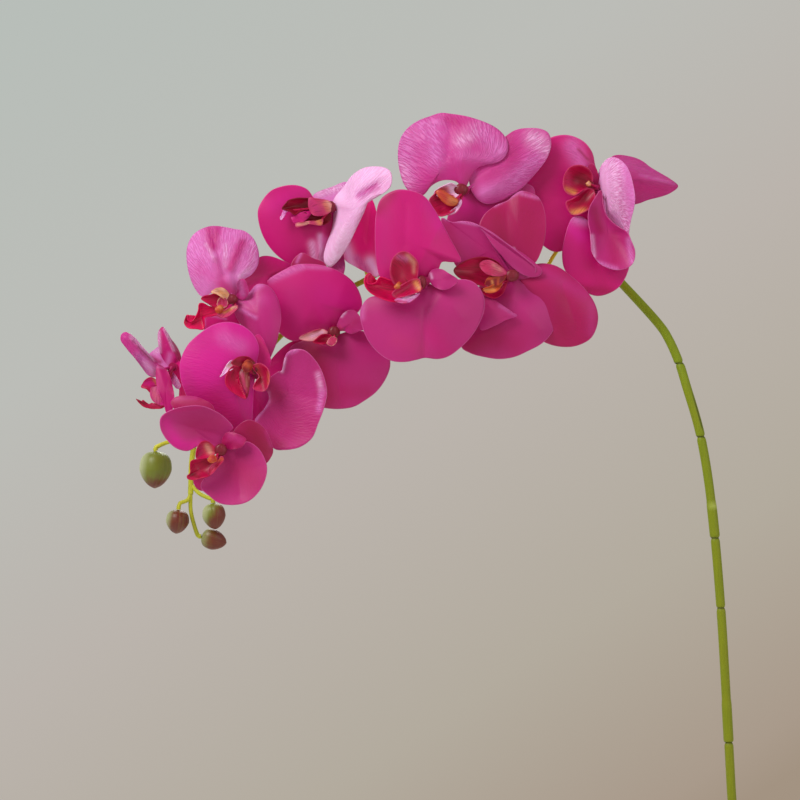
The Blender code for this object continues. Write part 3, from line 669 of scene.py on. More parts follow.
# %% The third bloom
BLOOMS["03"] = dict(
    heart=(-162, -25, 580),
    petals={
        "upper wing": leaf(
            MAUVE, 7, 0, 5, (2, 7), 0,
            [(512, 278), (498, 272), (484, 267), (469, 264), (457, 267), (448, 246), (441, 219),
             (452, 222), (464, 221), (474, 223), (483, 228), (496, 236), (510, 246), (524, 257),
             (536, 268), (532, 276), (522, 279)],
            marks=[((448, 228), (456, 252), 6, CRIMSON, .4), ((482, 245), (500, 262), 9, MAGENTA, .3),
                   ((445, 219), (478, 225), 1.6, LILAC, .7)]),
        "rolled edge": leaf(
            MAUVE, 7, 7, -5, (0, 2), 2,
            [(478, 225), (487, 229), (496, 235), (505, 242), (514, 248), (525, 255), (535, 263),
             (542, 270), (539, 276), (530, 277), (520, 273), (510, 265), (500, 254), (492, 244),
             (485, 234)],
            marks=[((482, 228), (514, 250), 1.8, LILAC, .8), ((495, 240), (535, 270), 6, PINK, .12)]),
        "ribbed sepal": leaf(
            CRIMSON, 8, -2, -8, (2, 3), 3,
            [(513, 264), (500, 256), (486, 242), (479, 228), (484, 215), (495, 206), (507, 201),
             (514, 195), (521, 191), (531, 193), (539, 198), (544, 209), (546, 222), (545, 238),
             (541, 252), (535, 263), (524, 267)],
            folds=[((517, 200), (514, 250), 6, .1), ((506, 212), (508, 245), 6, -.8)],
            # The lilac lines are painted highlights on its edges, the deep strokes painted shade, and the
            # last stroke a painted glint.
            marks=[((495, 206), (522, 191), 1.6, LILAC, .6), ((522, 194), (538, 198), 2, LILAC, .5),
                   ((498, 218), (502, 240), 9, DEEP, .5), ((525, 212), (530, 240), 12, DEEP, .3),
                   ((514, 249), (514, 249), 1.2, PALE, .9)]),
        "right wing": leaf(
            CRIMSON, 7, -2, -2, (-3, -3), 5,
            [(515, 279), (522, 269), (537, 264), (549, 264), (560, 268), (572, 277), (584, 288),
             (594, 302), (598, 316), (596, 329), (590, 339), (579, 345), (567, 347), (552, 345),
             (539, 338), (530, 322), (524, 302), (518, 290)],
            folds=[((562, 285), (578, 330), 10, -1.5)],
            marks=[((540, 270), (585, 295), 8, MAUVE, .7), ((562, 300), (562, 330), 9, DEEP, .35),
                   ((592, 305), (592, 332), 6, MAUVE, .7)]),
        "lower wing": leaf(
            MAUVE, 10, -1, 3, (0, -3), 5,
            [(514, 276), (500, 276), (488, 280), (478, 288), (473, 302), (468, 322), (461, 345),
             (470, 353), (484, 357), (499, 359), (514, 357), (528, 351), (541, 344), (551, 334),
             (557, 321), (559, 308), (556, 297), (548, 290), (535, 288), (523, 284)],
            folds=[((512, 296), (540, 330), 12, 1.5)],
            marks=[((470, 345), (490, 335), 14, DEEP, .7), ((500, 340), (515, 345), 12, CRIMSON, .6),
                   ((556, 300), (555, 325), 3, LILAC, .3), ((515, 325), (530, 333), 13, CRIMSON, .4),
                   ((492, 285), (505, 297), 7, CRIMSON, .6)]),
        "folded flap": leaf(
            MAUVE, 4, 9, 2, (2, 1), 2,
            [(483, 296), (494, 300), (505, 307), (512, 312), (517, 316), (506, 320), (494, 326),
             (481, 330), (480, 318), (483, 306)],
            marks=[((486, 302), (500, 318), 9, PINK, .2), ((500, 306), (515, 315), 2, LILAC, .3)]),
    },
    lip={
        "tongue": leaf(
            RED, 5, 11, 7, (2, 3), -4,
            [(508, 277), (500, 264), (490, 258), (478, 257), (465, 261), (454, 269), (457, 276),
             (466, 281), (478, 285), (490, 287)],
            marks=[((460, 274), (484, 282), 4, WINE, .7), ((455, 268), (460, 275), 3, DEEP, .6)], rim=WINE),
        "hood": leaf(
            PINK, 4, 13, 4, (2, 2), 2,
            [(507, 273), (499, 265), (489, 260), (481, 262), (480, 267), (485, 273), (493, 276),
             (501, 276)],
            marks=[((494, 265), (500, 270), 2.5, CREAM, .25), ((484, 266), (492, 272), 4, RED, .4)],
            rim=PINK),
        "freckled throat": leaf(
            WINE, 4, 13, 2, (1, 1), 1,
            [(506, 276), (498, 274), (490, 276), (486, 280), (485, 286), (492, 287), (500, 284)],
            marks=[((487, 279), (498, 277), 1.6, ORANGE, .8), ((492, 281), (493, 286), 1.3, GOLD, .7),
                   ((498, 279), (498, 284), 1.3, ORANGE, .7)], rim=ORANGE),
        "lower lobe": leaf(
            ORANGE, 4, 13, 5, (1, 2), -1,
            [(502, 283), (495, 284), (488, 287), (483, 289), (485, 292), (491, 293), (497, 291),
             (501, 287)],
            marks=[((485, 290), (494, 290), 2, GOLD, .8)], rim=ORANGE),
        "under lobe": leaf(
            RED, 4, 9, 3, (1, 2), -1,
            [(507, 282), (502, 288), (495, 291), (488, 291), (481, 288), (486, 296), (496, 298),
             (504, 292)], rim=RED),
    },
    knob=((-1, -12, 0), (4.9, 4.2)),
)

# %% The fourth bloom, the largest
BLOOMS["04"] = dict(
    heart=(-222, -51, 575),
    petals={
        "upper wing": leaf(
            MAGENTA, 9, 0, 4, (-3, -2), 5,
            [(425, 281), (415, 284), (402, 283), (390, 281), (380, 277), (376, 258), (375, 236),
             (376, 215), (381, 199), (396, 190), (413, 191), (425, 197), (434, 209), (442, 223),
             (450, 238), (457, 251), (461, 261), (452, 262), (442, 262), (438, 270), (431, 276)],
            folds=[((443, 222), (419, 263), 8, .9), ((406, 205), (405, 245), 6, -.8)],
            marks=[((430, 205), (440, 225), 9, BRIGHT, .6), ((385, 215), (384, 260), 8, MAUVE, .4),
                   ((452, 250), (436, 256), 8, MAGENTA, .5), ((378, 210), (392, 194), 6, CRIMSON, .8)]),
        "lower wing": leaf(
            MAUVE, 13, 0, 2, (-2, -3), 5,
            [(427, 284), (414, 291), (400, 296), (385, 296), (371, 297), (363, 304), (360, 315),
             (364, 332), (371, 345), (381, 355), (392, 361), (405, 362), (416, 360), (425, 358),
             (438, 359), (449, 356), (460, 348), (470, 338), (478, 326), (484, 311), (484, 297),
             (477, 285), (468, 280), (455, 280), (443, 285), (435, 286)],
            folds=[((425, 308), (424, 356), 5, -2.2), ((452, 306), (462, 318), 5, .8)],
            marks=[((398, 340), (420, 348), 9, PINK, .22), ((430, 330), (445, 350), 10, MAGENTA, .4),
                   ((363, 305), (362, 318), 3, LILAC, .4), ((440, 295), (465, 300), 14, MAUVE, .4)]),
        "ear": leaf(
            MAUVE, 4, 3, 5, (2, 2), 2,
            [(428, 277), (432, 270), (441, 269), (450, 274), (458, 280), (452, 287), (443, 290),
             (435, 287), (430, 282)],
            marks=[((431, 274), (432, 278), 1.4, PALE, .5)]),
    },
    lip={
        "hood": leaf(
            RED, 6, 9, 7, (3, 3), -4,
            [(416, 284), (418, 274), (418, 263), (413, 256), (407, 252), (400, 252), (393, 258),
             (390, 268), (391, 278), (396, 286), (407, 288)],
            marks=[((408, 256), (414, 262), 3, CREAM, .6), ((414, 266), (414, 272), 2, CREAM, .4),
                   ((398, 256), (406, 259), 3, LILAC, .5), ((395, 264), (396, 278), 4, WINE, .3)],
            rim=PINK),
        "right lobe": leaf(
            RED, 5, 12, 5, (2, 2), -2,
            [(419, 279), (413, 279), (405, 283), (397, 288), (392, 294), (396, 298), (406, 296),
             (416, 293), (421, 290), (421, 284)],
            marks=[((416, 283), (420, 289), 3, GOLD, .8), ((396, 291), (410, 285), 2, PINK, .5)], rim=PINK),
        "tongue": leaf(
            CHERRY, 10, 10, 7, (2, 3), -3,
            [(416, 290), (405, 286), (397, 283), (388, 279), (380, 277), (376, 282), (371, 284),
             (367, 283), (367, 277), (370, 273), (366, 275), (364, 281), (366, 288), (372, 294),
             (382, 299), (393, 302), (406, 300)],
            marks=[((385, 284), (400, 290), 6, CHERRY, .5), ((368, 290), (385, 298), 4, WINE, .5),
                   ((366, 278), (370, 273), 2, WINE, .9)], rim=CHERRY),
        "callus": leaf(
            ORANGE, 3, 14, 3, (1, 1), 2,
            [(402, 285), (400, 282), (397, 283), (394, 287), (396, 289), (400, 288)],
            marks=[((397, 285), (399, 286), 1.6, GOLD, .6)], rim=ORANGE),
        "lower lobe": leaf(
            LILAC, 5, 12, 5, (1, 1), 1,
            [(420, 293), (413, 295), (406, 296), (399, 298), (394, 300), (399, 303), (407, 303),
             (414, 300)],
            marks=[((397, 301), (406, 302), 1.5, RED, .7), ((404, 299), (414, 297), 1.5, PALE, .8)],
            rim=RED),
    },
    knob=((-3, -8, -1), (3.5, 4.9)),
)

# %% The fifth bloom, at the back on the left
BLOOMS["05"] = dict(
    heart=(-286, 5, 630),
    petals={
        "left wing": leaf(
            MAGENTA, 9, 0, 5, (3, -3), 4,
            [(333, 212), (322, 203), (314, 198), (309, 191), (303, 187), (294, 185), (283, 186),
             (272, 190), (264, 198), (258, 210), (259, 224), (264, 238), (272, 250), (283, 260),
             (300, 270), (316, 270), (325, 262), (329, 248), (332, 232)],
            folds=[((322, 228), (318, 262), 4, 1.2)],
            marks=[((312, 244), (315, 264), 4, PALE, .75), ((320, 236), (322, 262), 3, PALE, .8),
                   ((325, 240), (325, 260), 4, LILAC, .4), ((297, 230), (302, 262), 12, CRIMSON, .4),
                   ((275, 205), (300, 192), 10, BRIGHT, .5), ((327, 215), (328, 232), 4, DEEP, .5)]),
        "right wing": leaf(
            PALE, 9, 0, 36, (-3, -3), 5,
            [(334, 212), (333, 203), (336, 196), (343, 188), (350, 178), (358, 171), (368, 167),
             (382, 167), (390, 171), (392, 179), (390, 187), (383, 193), (374, 195), (368, 202),
             (364, 212), (357, 227), (351, 240), (343, 254), (336, 263), (330, 267), (325, 263),
             (324, 255), (327, 243), (332, 229)],
            folds=[((350, 190), (336, 245), 9, 1.5), ((358, 194), (380, 184), 6, -1.6)],
            marks=[((346, 190), (330, 260), 13, PEARL, 1), ((354, 180), (384, 171), 7, PEARL, 1),
                   ((386, 172), (388, 184), 4, PEARL, .8), ((345, 234), (334, 264), 9, ICE, .8),
                   ((360, 195), (376, 186), 4, LILAC, .9), ((366, 190), (376, 187), 2, MAGENTA, .3)],
            sheen=.35),
        "back sepal": leaf(
            LILAC, 3, -1, -10, (0, 0), 1,
            [(335, 206), (322, 200), (313, 197), (318, 192), (332, 187), (346, 182), (350, 190),
             (344, 200)],
            marks=[((320, 194), (342, 187), 4, PALE, .8)], sheen=.5),
        # Its hot tone is painted light that lifts it out of the right wing's shadow, and its pearl strokes
        # are partly painted highlights.
        "right sepal": leaf(
            HOT, 7, -2, -6, (2, 1), 3,
            [(341, 212), (354, 204), (366, 198), (371, 198), (375, 206), (378, 222), (378, 245),
             (379, 275), (368, 273), (354, 266), (345, 260), (342, 252), (340, 232)],
            folds=[((371, 202), (364, 268), 5, -1)],
            marks=[((345, 246), (352, 266), 6, PEARL, 1), ((370, 262), (377, 273), 6, PEARL, 1),
                   ((357, 258), (367, 272), 4, LILAC, .6), ((364, 210), (367, 238), 5, RED, .25)]),
        "lower sepal": leaf(
            MAUVE, 5, -2, 8, (1, 1), 1,
            [(333, 226), (326, 240), (325, 256), (329, 268), (336, 275), (343, 275), (345, 264),
             (342, 250), (338, 236)],
            marks=[((332, 264), (342, 266), 5, LILAC, .45)], sheen=.3),
    },
    lip={
        "throat": leaf(
            WINE, 6, 8, 6, (2, 2), -3,
            [(318, 207), (311, 199), (304, 198), (297, 198), (289, 200), (285, 204), (282, 209),
             (289, 211), (295, 215), (302, 211), (310, 215)],
            marks=[((290, 202), (304, 202), 3, RED, .5)], rim=WINE),
        "wedge": leaf(
            MAGENTA, 4, 10, 3, (1, 1), 1,
            [(312, 212), (306, 211), (300, 213), (295, 216), (291, 218), (295, 224), (301, 223),
             (307, 219)], rim=MAGENTA),
        "tail": leaf(
            LILAC, 4, 12, 4, (0, 0), 0,
            [(288, 210), (284, 209), (282, 214), (280, 218), (281, 220), (284, 217), (286, 213)],
            marks=[((281, 216), (281, 219), 2, PALE, .8)], rim=LILAC),
        "hood": leaf(
            PINK, 6, 8, 5, (3, 2), 3,
            [(333, 207), (329, 201), (321, 199), (314, 198), (309, 198), (308, 204), (309, 209),
             (313, 215), (321, 216), (329, 213)],
            marks=[((329, 202), (332, 210), 3.5, CREAM, .9), ((325, 204), (328, 210), 2.5, GOLD, .5),
                   ((311, 202), (318, 211), 5, MAUVE, .5)], rim=PINK),
        "mouth": leaf(
            WINE, 5, 7, 4, (1, 1), -2,
            [(331, 214), (324, 215), (316, 214), (309, 213), (304, 219), (299, 223), (306, 223),
             (314, 224), (323, 225), (330, 221)], rim=WINE),
        "lower rim": leaf(
            PINK, 4, 10, 4, (0, 0), 0,
            [(323, 219), (317, 221), (309, 221), (302, 222), (296, 223), (296, 227), (302, 226),
             (309, 224), (316, 225), (322, 225)],
            marks=[((318, 220), (320, 223), 3, GOLD, .8), ((296, 225), (308, 223), 1.5, CREAM, .7)],
            rim=PINK),
    },
    knob=((-2, -7, 0), (3.5, 4.2)),
)

# %% The sixth bloom
BLOOMS["06"] = dict(
    heart=(-285, -10, 542),
    petals={
        "upper wing": leaf(
            MAGENTA, 9, 0, 4, (-2, -2), 5,
            [(333, 331), (322, 331), (310, 335), (302, 339), (293, 341), (282, 335), (270, 322),
             (262, 305), (262, 288), (269, 279), (282, 271), (295, 265), (308, 264), (320, 265),
             (334, 269), (345, 275), (354, 283), (360, 294), (362, 305), (357, 313), (349, 315),
             (342, 322)],
            folds=[((345, 285), (330, 320), 12, .6)],
            marks=[((272, 279), (300, 267), 4, LILAC, .6), ((300, 267), (330, 268), 2.5, LILAC, .4),
                   ((290, 295), (298, 325), 14, MAUVE, .5), ((325, 295), (348, 305), 16, BRIGHT, .4)]),
        "lower wing": leaf(
            MAUVE, 10, 0, -2, (0, -2), 4,
            [(334, 336), (324, 340), (312, 340), (299, 342), (290, 348), (286, 362), (289, 380),
             (298, 396), (312, 405), (325, 408), (339, 409), (353, 407), (364, 401), (376, 392),
             (385, 380), (390, 367), (389, 355), (383, 346), (373, 337), (362, 331), (350, 331)],
            folds=[((336, 344), (340, 405), 10, -1.2)],
            # The deep stroke is a painted cast shadow.
            marks=[((312, 352), (322, 396), 19, DEEP, .85), ((345, 392), (365, 392), 9, CRIMSON, .5)]),
        "back sepal": leaf(
            CRIMSON, 4, -3, -1, (1, 1), 1,
            [(331, 325), (312, 312), (298, 290), (291, 266), (301, 253), (313, 258), (326, 265),
             (333, 290)],
            marks=[((297, 262), (301, 254), 1.5, LILAC, .6)]),
        "left sepal": leaf(
            MAGENTA, 5, -3, -5, (1, 1), 2,
            [(329, 336), (312, 337), (293, 341), (281, 349), (270, 361), (264, 372), (276, 382),
             (296, 378), (316, 360)]),
        "ear": leaf(
            MAUVE, 5, 3, 5, (2, 1), 2,
            [(337, 330), (339, 320), (345, 312), (353, 310), (359, 315), (366, 328), (359, 331),
             (351, 334), (344, 331)],
            # Its two small pale and pink strokes are painted glints.
            marks=[((342, 316), (345, 312), 1.6, PALE, .8), ((340, 327), (342, 329), 1.6, PINK, .8),
                   ((350, 326), (356, 322), 4, CRIMSON, .4)]),
    },
    lip={
        "left lobe": leaf(
            BLUSH, 5, 8, 5, (1, 1), 0,
            [(328, 333), (323, 329), (315, 330), (307, 333), (301, 336), (299, 339), (306, 341),
             (314, 341), (321, 338)],
            marks=[((312, 336), (322, 333), 2.5, PALE, .5), ((303, 334), (320, 329), 1.5, RED, .7)],
            rim=PINK),
        "throat": leaf(
            RED, 5, 9, 4, (2, 1), -2,
            [(332, 336), (327, 334), (321, 335), (316, 339), (313, 342), (318, 344), (326, 344),
             (331, 342)],
            marks=[((320, 342), (328, 343), 2, WINE, .6)], rim=RED),
        "right lobe": leaf(
            PINK, 4, 10, 3, (1, 1), 1,
            [(335, 337), (331, 337), (328, 340), (327, 344), (332, 346), (336, 343), (337, 339)],
            marks=[((332, 341), (334, 342), 2, RED, .4)], rim=CREAM),
    },
    knob=((0, -7, 0), (4.2, 4.2)),
)

# %% The seventh bloom
BLOOMS["07"] = dict(
    heart=(-354, -28, 564),
    petals={
        "upper wing": leaf(
            LILAC, 12, 0, -12, (-4, -4), 6,
            [(232, 297), (222, 292), (212, 293), (203, 297), (196, 290), (190, 277), (187, 262),
             (187, 249), (191, 238), (198, 231), (207, 227), (215, 226), (224, 227), (234, 229),
             (244, 231), (252, 237), (257, 246), (259, 257), (257, 267), (251, 275), (243, 280),
             (239, 287), (236, 295)],
            folds=[((207, 234), (222, 280), 5, 1.4), ((213, 238), (224, 275), 4, -1.6),
                   ((238, 240), (228, 282), 6, 1.2), ((246, 242), (236, 272), 5, -1.2),
                   ((254, 256), (238, 280), 5, 1)],
            marks=[((209, 229), (212, 246), 6, MAUVE, .9), ((218, 228), (214, 246), 5, MAUVE, .9),
                   ((242, 243), (230, 268), 4.5, MAGENTA, .8), ((222, 284), (232, 292), 7, MAGENTA, .7),
                   ((200, 268), (212, 276), 7, BRIGHT, .35), ((206, 244), (216, 262), 1.5, PALE, .6),
                   ((226, 246), (225, 266), 2.5, PALE, .5), ((250, 268), (240, 277), 3, PALE, .6),
                   ((217, 260), (221, 276), 5, MAUVE, .6), ((254, 246), (252, 262), 4, PALE, .3)],
            sheen=.7),
        "right wing": leaf(
            MAUVE, 11, 0, 8, (-2, -3), 5,
            [(232, 302), (238, 298), (244, 297), (250, 292), (256, 285), (262, 284), (268, 286),
             (274, 292), (279, 303), (281, 318), (279, 332), (275, 347), (266, 364), (257, 354),
             (249, 340), (243, 328), (236, 316)],
            folds=[((240, 309), (256, 318), 4, .8)],
            marks=[((250, 292), (261, 285), 3, LILAC, .8), ((240, 309), (256, 318), 2, LILAC, .6),
                   ((244, 303), (262, 300), 7, LILAC, .2), ((268, 300), (270, 325), 9, BRIGHT, .3)]),
        "back sepal": leaf(
            MAGENTA, 6, -3, -26, (1, 1), 2,
            [(237, 296), (243, 280), (251, 268), (258, 258), (268, 256), (281, 260), (293, 267),
             (289, 278), (276, 288), (258, 294)],
            marks=[((256, 268), (280, 272), 11, CRIMSON, .7)]),
        "lower sepal": leaf(
            MAGENTA, 5, -2, -5, (1, 1), 2,
            [(238, 304), (226, 303), (214, 309), (205, 315), (202, 326), (212, 334), (228, 332),
             (240, 324), (244, 314)],
            marks=[((204, 317), (204, 326), 1.6, LILAC, .7), ((208, 315), (226, 319), 1.3, LILAC, .4)]),
        "ear": leaf(
            MAUVE, 3, 2, 5, (2, 2), 1,
            [(237, 297), (237, 289), (238, 281), (244, 279), (248, 287), (248, 295), (243, 300)],
            marks=[((240, 283), (243, 294), 3, LILAC, .5)]),
    },
    lip={
        "upper lobe": leaf(
            RED, 5, 8, 4, (1, 1), -1,
            [(228, 300), (222, 295), (216, 293), (209, 295), (204, 296), (201, 299), (207, 303),
             (214, 307), (222, 306)], rim=RED),
        "tongue": leaf(
            CHERRY, 11, 8, 6, (2, 2), -2,
            [(224, 309), (218, 307), (210, 306), (203, 303), (199, 304), (198, 311), (194, 319),
             (190, 322), (187, 319), (187, 315), (186, 316), (184, 323), (188, 328), (196, 329),
             (204, 329), (205, 318), (213, 316), (221, 314)],
            marks=[((186, 317), (185, 324), 2, WINE, .8), ((196, 325), (203, 322), 4, WINE, .3)],
            rim=CHERRY),
        "hood": leaf(
            CREAM, 4, 9, 5, (1, 2), 1,
            [(230, 298), (228, 292), (223, 288), (217, 288), (211, 292), (216, 294), (221, 297),
             (226, 300)],
            marks=[((220, 292), (226, 295), 3, GOLD, .8)], rim=GOLD),
        "freckled throat": leaf(
            PINK, 4, 10, 2, (1, 1), 0,
            [(228, 303), (226, 298), (221, 297), (218, 300), (217, 305), (221, 308), (226, 307)],
            marks=[((220, 299), (220, 305), 1, RED, .8), ((223, 298), (224, 305), 1, RED, .8)], rim=CREAM),
        "callus": leaf(
            ORANGE, 3, 11, 3, (1, 1), 2,
            [(224, 310), (223, 306), (219, 305), (215, 309), (217, 313), (222, 313)],
            marks=[((219, 307), (221, 308), 1.5, GOLD, .8)], rim=ORANGE),
        "lower lobe": leaf(
            PINK, 5, 9, 5, (1, 1), -1,
            [(237, 305), (231, 307), (225, 310), (220, 312), (217, 315), (222, 318), (229, 316),
             (234, 312), (238, 308)],
            marks=[((224, 312), (231, 309), 2, GOLD, .8), ((232, 308), (236, 307), 1.5, CREAM, .7)],
            rim=PINK),
    },
    knob=((-1, -8, 0), (4.9, 3.5)),
)

# %% The eighth bloom
BLOOMS["08"] = dict(
    heart=(-336, -51, 512),
    petals={
        "left wing": leaf(
            BRIGHT, 10, 0, 8, (-3, -3), 6,
            [(256, 372), (257, 360), (259, 350), (257, 341), (251, 332), (241, 325), (228, 322),
             (213, 325), (199, 334), (187, 346), (180, 363), (181, 380), (186, 395), (192, 408),
             (203, 422), (220, 434), (236, 440), (248, 436), (252, 420), (253, 400), (254, 385)],
            folds=[((228, 328), (245, 360), 10, .8), ((250, 392), (250, 432), 4, 1)],
            marks=[((224, 338), (240, 346), 8, LILAC, .4), ((215, 400), (240, 430), 16, CRIMSON, .7),
                   ((190, 395), (250, 435), 13, CRIMSON, .5), ((187, 372), (190, 390), 6, MAUVE, .35),
                   ((205, 352), (215, 370), 12, BRIGHT, .5)], sheen=.15),
        "right wing": leaf(
            MAUVE, 9, 0, 9, (3, 2), -3,
            [(262, 386), (268, 379), (276, 373), (282, 370), (284, 360), (288, 352), (296, 349),
             (306, 351), (316, 361), (323, 374), (327, 392), (324, 408), (318, 424), (312, 438),
             (300, 447), (285, 450), (273, 448), (262, 432), (255, 420), (264, 409), (269, 398),
             (266, 390)],
            folds=[((283, 368), (288, 353), 2.5, 2), ((264, 400), (284, 430), 6, 1.2),
                   ((276, 388), (320, 400), 12, -1)],
            # The pale and lilac lines on its rims are painted highlights, and the deep strokes painted
            # shade.
            marks=[((282, 371), (285, 358), 1.6, PALE, .9), ((286, 354), (297, 350), 1.8, LILAC, .8),
                   ((318, 374), (322, 392), 2.8, PALE, .5), ((322, 392), (319, 410), 2.8, LILAC, .7),
                   ((269, 392), (269, 402), 1.5, LILAC, .9), ((267, 405), (256, 420), 1.5, LILAC, .9),
                   ((270, 385), (278, 395), 9, DEEP, .6), ((268, 438), (279, 446), 7, DEEP, .6),
                   ((285, 420), (310, 430), 16, CRIMSON, .3)], sheen=.15),
        "back sepal": leaf(
            MAGENTA, 4, -6, -2, (1, 1), 1,
            [(258, 371), (254, 358), (253, 346), (255, 336), (261, 336), (268, 350), (271, 362),
             (266, 372)],
            marks=[((258, 338), (268, 352), 1.5, PINK, .4)]),
        # Its bright tone is painted light that lifts it out of shade.
        "lower sepal": leaf(
            BRIGHT, 4, -2, -6, (0, 0), 1,
            [(259, 382), (252, 392), (249, 404), (249, 416), (252, 424), (261, 415), (269, 404),
             (272, 395), (266, 386)],
            marks=[((256, 396), (260, 412), 7, RED, .4)]),
    },
    lip={
        "left lobe": leaf(
            PALE, 5, 10, 4, (1, 1), 0,
            [(238, 364), (233, 360), (228, 363), (224, 369), (222, 374), (220, 377), (226, 373),
             (231, 370), (235, 367)],
            marks=[((228, 366), (232, 364), 2.5, CREAM, .6)], rim=PALE),
        "hood": leaf(
            WINE, 5, 8, 6, (2, 2), 1,
            [(257, 368), (254, 361), (249, 357), (242, 356), (236, 358), (231, 363), (236, 367),
             (242, 366), (250, 368)],
            marks=[((238, 359), (250, 359), 2.5, RED, .7)], rim=RED),
        "tongue": leaf(
            CHERRY, 7, 10, 6, (3, 2), -3,
            [(247, 368), (240, 366), (233, 366), (228, 371), (225, 379), (227, 387), (235, 394),
             (246, 399), (243, 390), (240, 380), (242, 373)],
            marks=[((229, 372), (230, 384), 3, PINK, .35), ((232, 376), (240, 394), 6, WINE, .55)],
            rim=RED),
        "striped middle": leaf(
            WINE, 5, 12, 4, (1, 1), 1,
            [(246, 367), (241, 369), (239, 376), (241, 384), (245, 391), (247, 398), (249, 390),
             (250, 380), (249, 372)],
            marks=[((242, 374), (246, 392), 1.8, PINK, .7), ((246, 372), (247, 386), 1.2, CREAM, .15)],
            rim=WINE),
        "callus": leaf(
            WINE, 3, 13, 3, (1, 1), 2,
            [(253, 364), (249, 360), (245, 361), (242, 367), (245, 372), (250, 371)],
            marks=[((246, 364), (249, 366), 3, ORANGE, .9)], rim=ORANGE),
        "right lobe": leaf(
            RED, 6, 10, 6, (2, 2), -3,
            [(252, 367), (258, 363), (264, 365), (268, 369), (270, 375), (269, 384), (265, 391),
             (258, 391), (253, 388), (256, 381), (259, 376)],
            marks=[((257, 366), (260, 378), 2, ORANGE, .5), ((256, 389), (264, 389), 3, PINK, .5),
                   ((269, 372), (269, 384), 1.5, GOLD, .4), ((262, 370), (264, 388), 5, WINE, .45)],
            rim=PINK),
    },
    knob=((-1, -8, 4), (3.5, 3.5)),
)

# %% The ninth bloom, seen from its side
BLOOMS["09"] = dict(
    heart=(-397, -10, 518),
    petals={
        "left wing": leaf(
            ROSE, 6, 0, 10, (2, 3), 2,
            [(160, 374), (154, 377), (147, 374), (137, 361), (127, 349), (121, 341), (121, 335),
             (126, 332), (134, 337), (143, 347), (152, 357), (160, 366)],
            folds=[((126, 338), (154, 370), 2.5, 1.5), ((134, 342), (156, 364), 1.6, -1.2)],
            marks=[((140, 357), (152, 371), 6, LILAC, 1), ((133, 337), (153, 358), 3, PALE, .9),
                   ((138, 347), (152, 361), 1.2, DEEP, .5), ((146, 364), (155, 374), 4, PALE, .45)],
            sheen=.2),
        "upper sepal": leaf(
            FUCHSIA, 6, 0, -4, (3, -3), 2,
            [(172, 368), (165, 362), (160, 353), (158, 342), (158, 333), (160, 329), (163, 327),
             (167, 332), (171, 339), (177, 347), (181, 357), (180, 366)],
            folds=[((164, 330), (176, 358), 2, 2.4)],
            marks=[((159, 332), (160, 352), 1.6, PALE, .8), ((165, 329), (174, 350), 1.5, PALE, 1),
                   ((173, 342), (180, 358), 2.5, DEEP, .7), ((170, 355), (168, 364), 3, LILAC, .7)],
            sheen=.2),
        "back sepal": leaf(
            LILAC, 3, 0, -4, (1, 1), 1,
            [(168, 370), (157, 364), (149, 356), (154, 350), (160, 347), (164, 357), (170, 364)],
            marks=[((156, 352), (160, 350), 2.5, PALE, .8), ((152, 358), (160, 362), 2.5, CRIMSON, .8)],
            sheen=.3),
        "lower sepal": leaf(
            FUCHSIA, 8, 14, 8, (2, 2), 2,
            [(162, 366), (158, 365), (156, 370), (156, 380), (158, 390), (161, 398), (164, 405),
             (166, 412), (168, 417), (171, 413), (174, 404), (174, 393), (172, 384), (170, 376),
             (167, 370)],
            marks=[((158, 367), (163, 368), 1.3, LILAC, .6), ((169, 376), (172, 396), 2, CRIMSON, .4)]),
        "inner petal": leaf(
            LILAC, 4, 2, 4, (1, 1), 1,
            [(170, 370), (174, 373), (178, 379), (181, 386), (178, 389), (174, 386), (170, 379)],
            marks=[((176, 378), (179, 386), 2, PALE, .7), ((172, 376), (174, 383), 1.5, MAGENTA, .5)]),
        # Its hot tone is painted light that lifts it out of shade.
        "right sepal": leaf(
            HOT, 5, 0, -3, (1, 1), 1,
            [(170, 366), (179, 361), (184, 372), (189, 386), (190, 399), (180, 400), (179, 389),
             (173, 380)],
            marks=[((182, 392), (186, 398), 4, PINK, .5)]),
    },
    lip={
        "upper lobe": leaf(
            RED, 4, 6, 3, (2, 1), 1,
            [(164, 384), (158, 381), (151, 377), (145, 380), (141, 387), (146, 389), (151, 393),
             (156, 389)],
            marks=[((145, 382), (153, 384), 4, BRIGHT, .7), ((155, 380), (157, 383), 2, GOLD, .7)],
            rim=RED),
        "throat": leaf(
            BRIGHT, 5, 6, 3, (2, 1), 2,
            [(162, 384), (156, 384), (151, 388), (150, 394), (152, 400), (157, 404), (164, 405),
             (164, 395)],
            marks=[((153, 390), (154, 398), 2.5, PINK, .6), ((160, 396), (160, 402), 3, RED, .4),
                   ((154, 388), (157, 399), 4, BLUSH, .35)], rim=PINK),
        "tail": leaf(
            RED, 7, 7, 3, (0, 0), 0,
            [(165, 404), (157, 404), (152, 403), (148, 405), (144, 404), (143, 400), (140, 402),
             (136, 399), (141, 405), (147, 408), (155, 409), (163, 408)],
            marks=[((137, 400), (144, 404), 2, WINE, .8), ((152, 405), (160, 406), 2, PINK, .6)], rim=RED),
    },
    knob=((-5, -7, -9), (2.8, 2.8)),
)

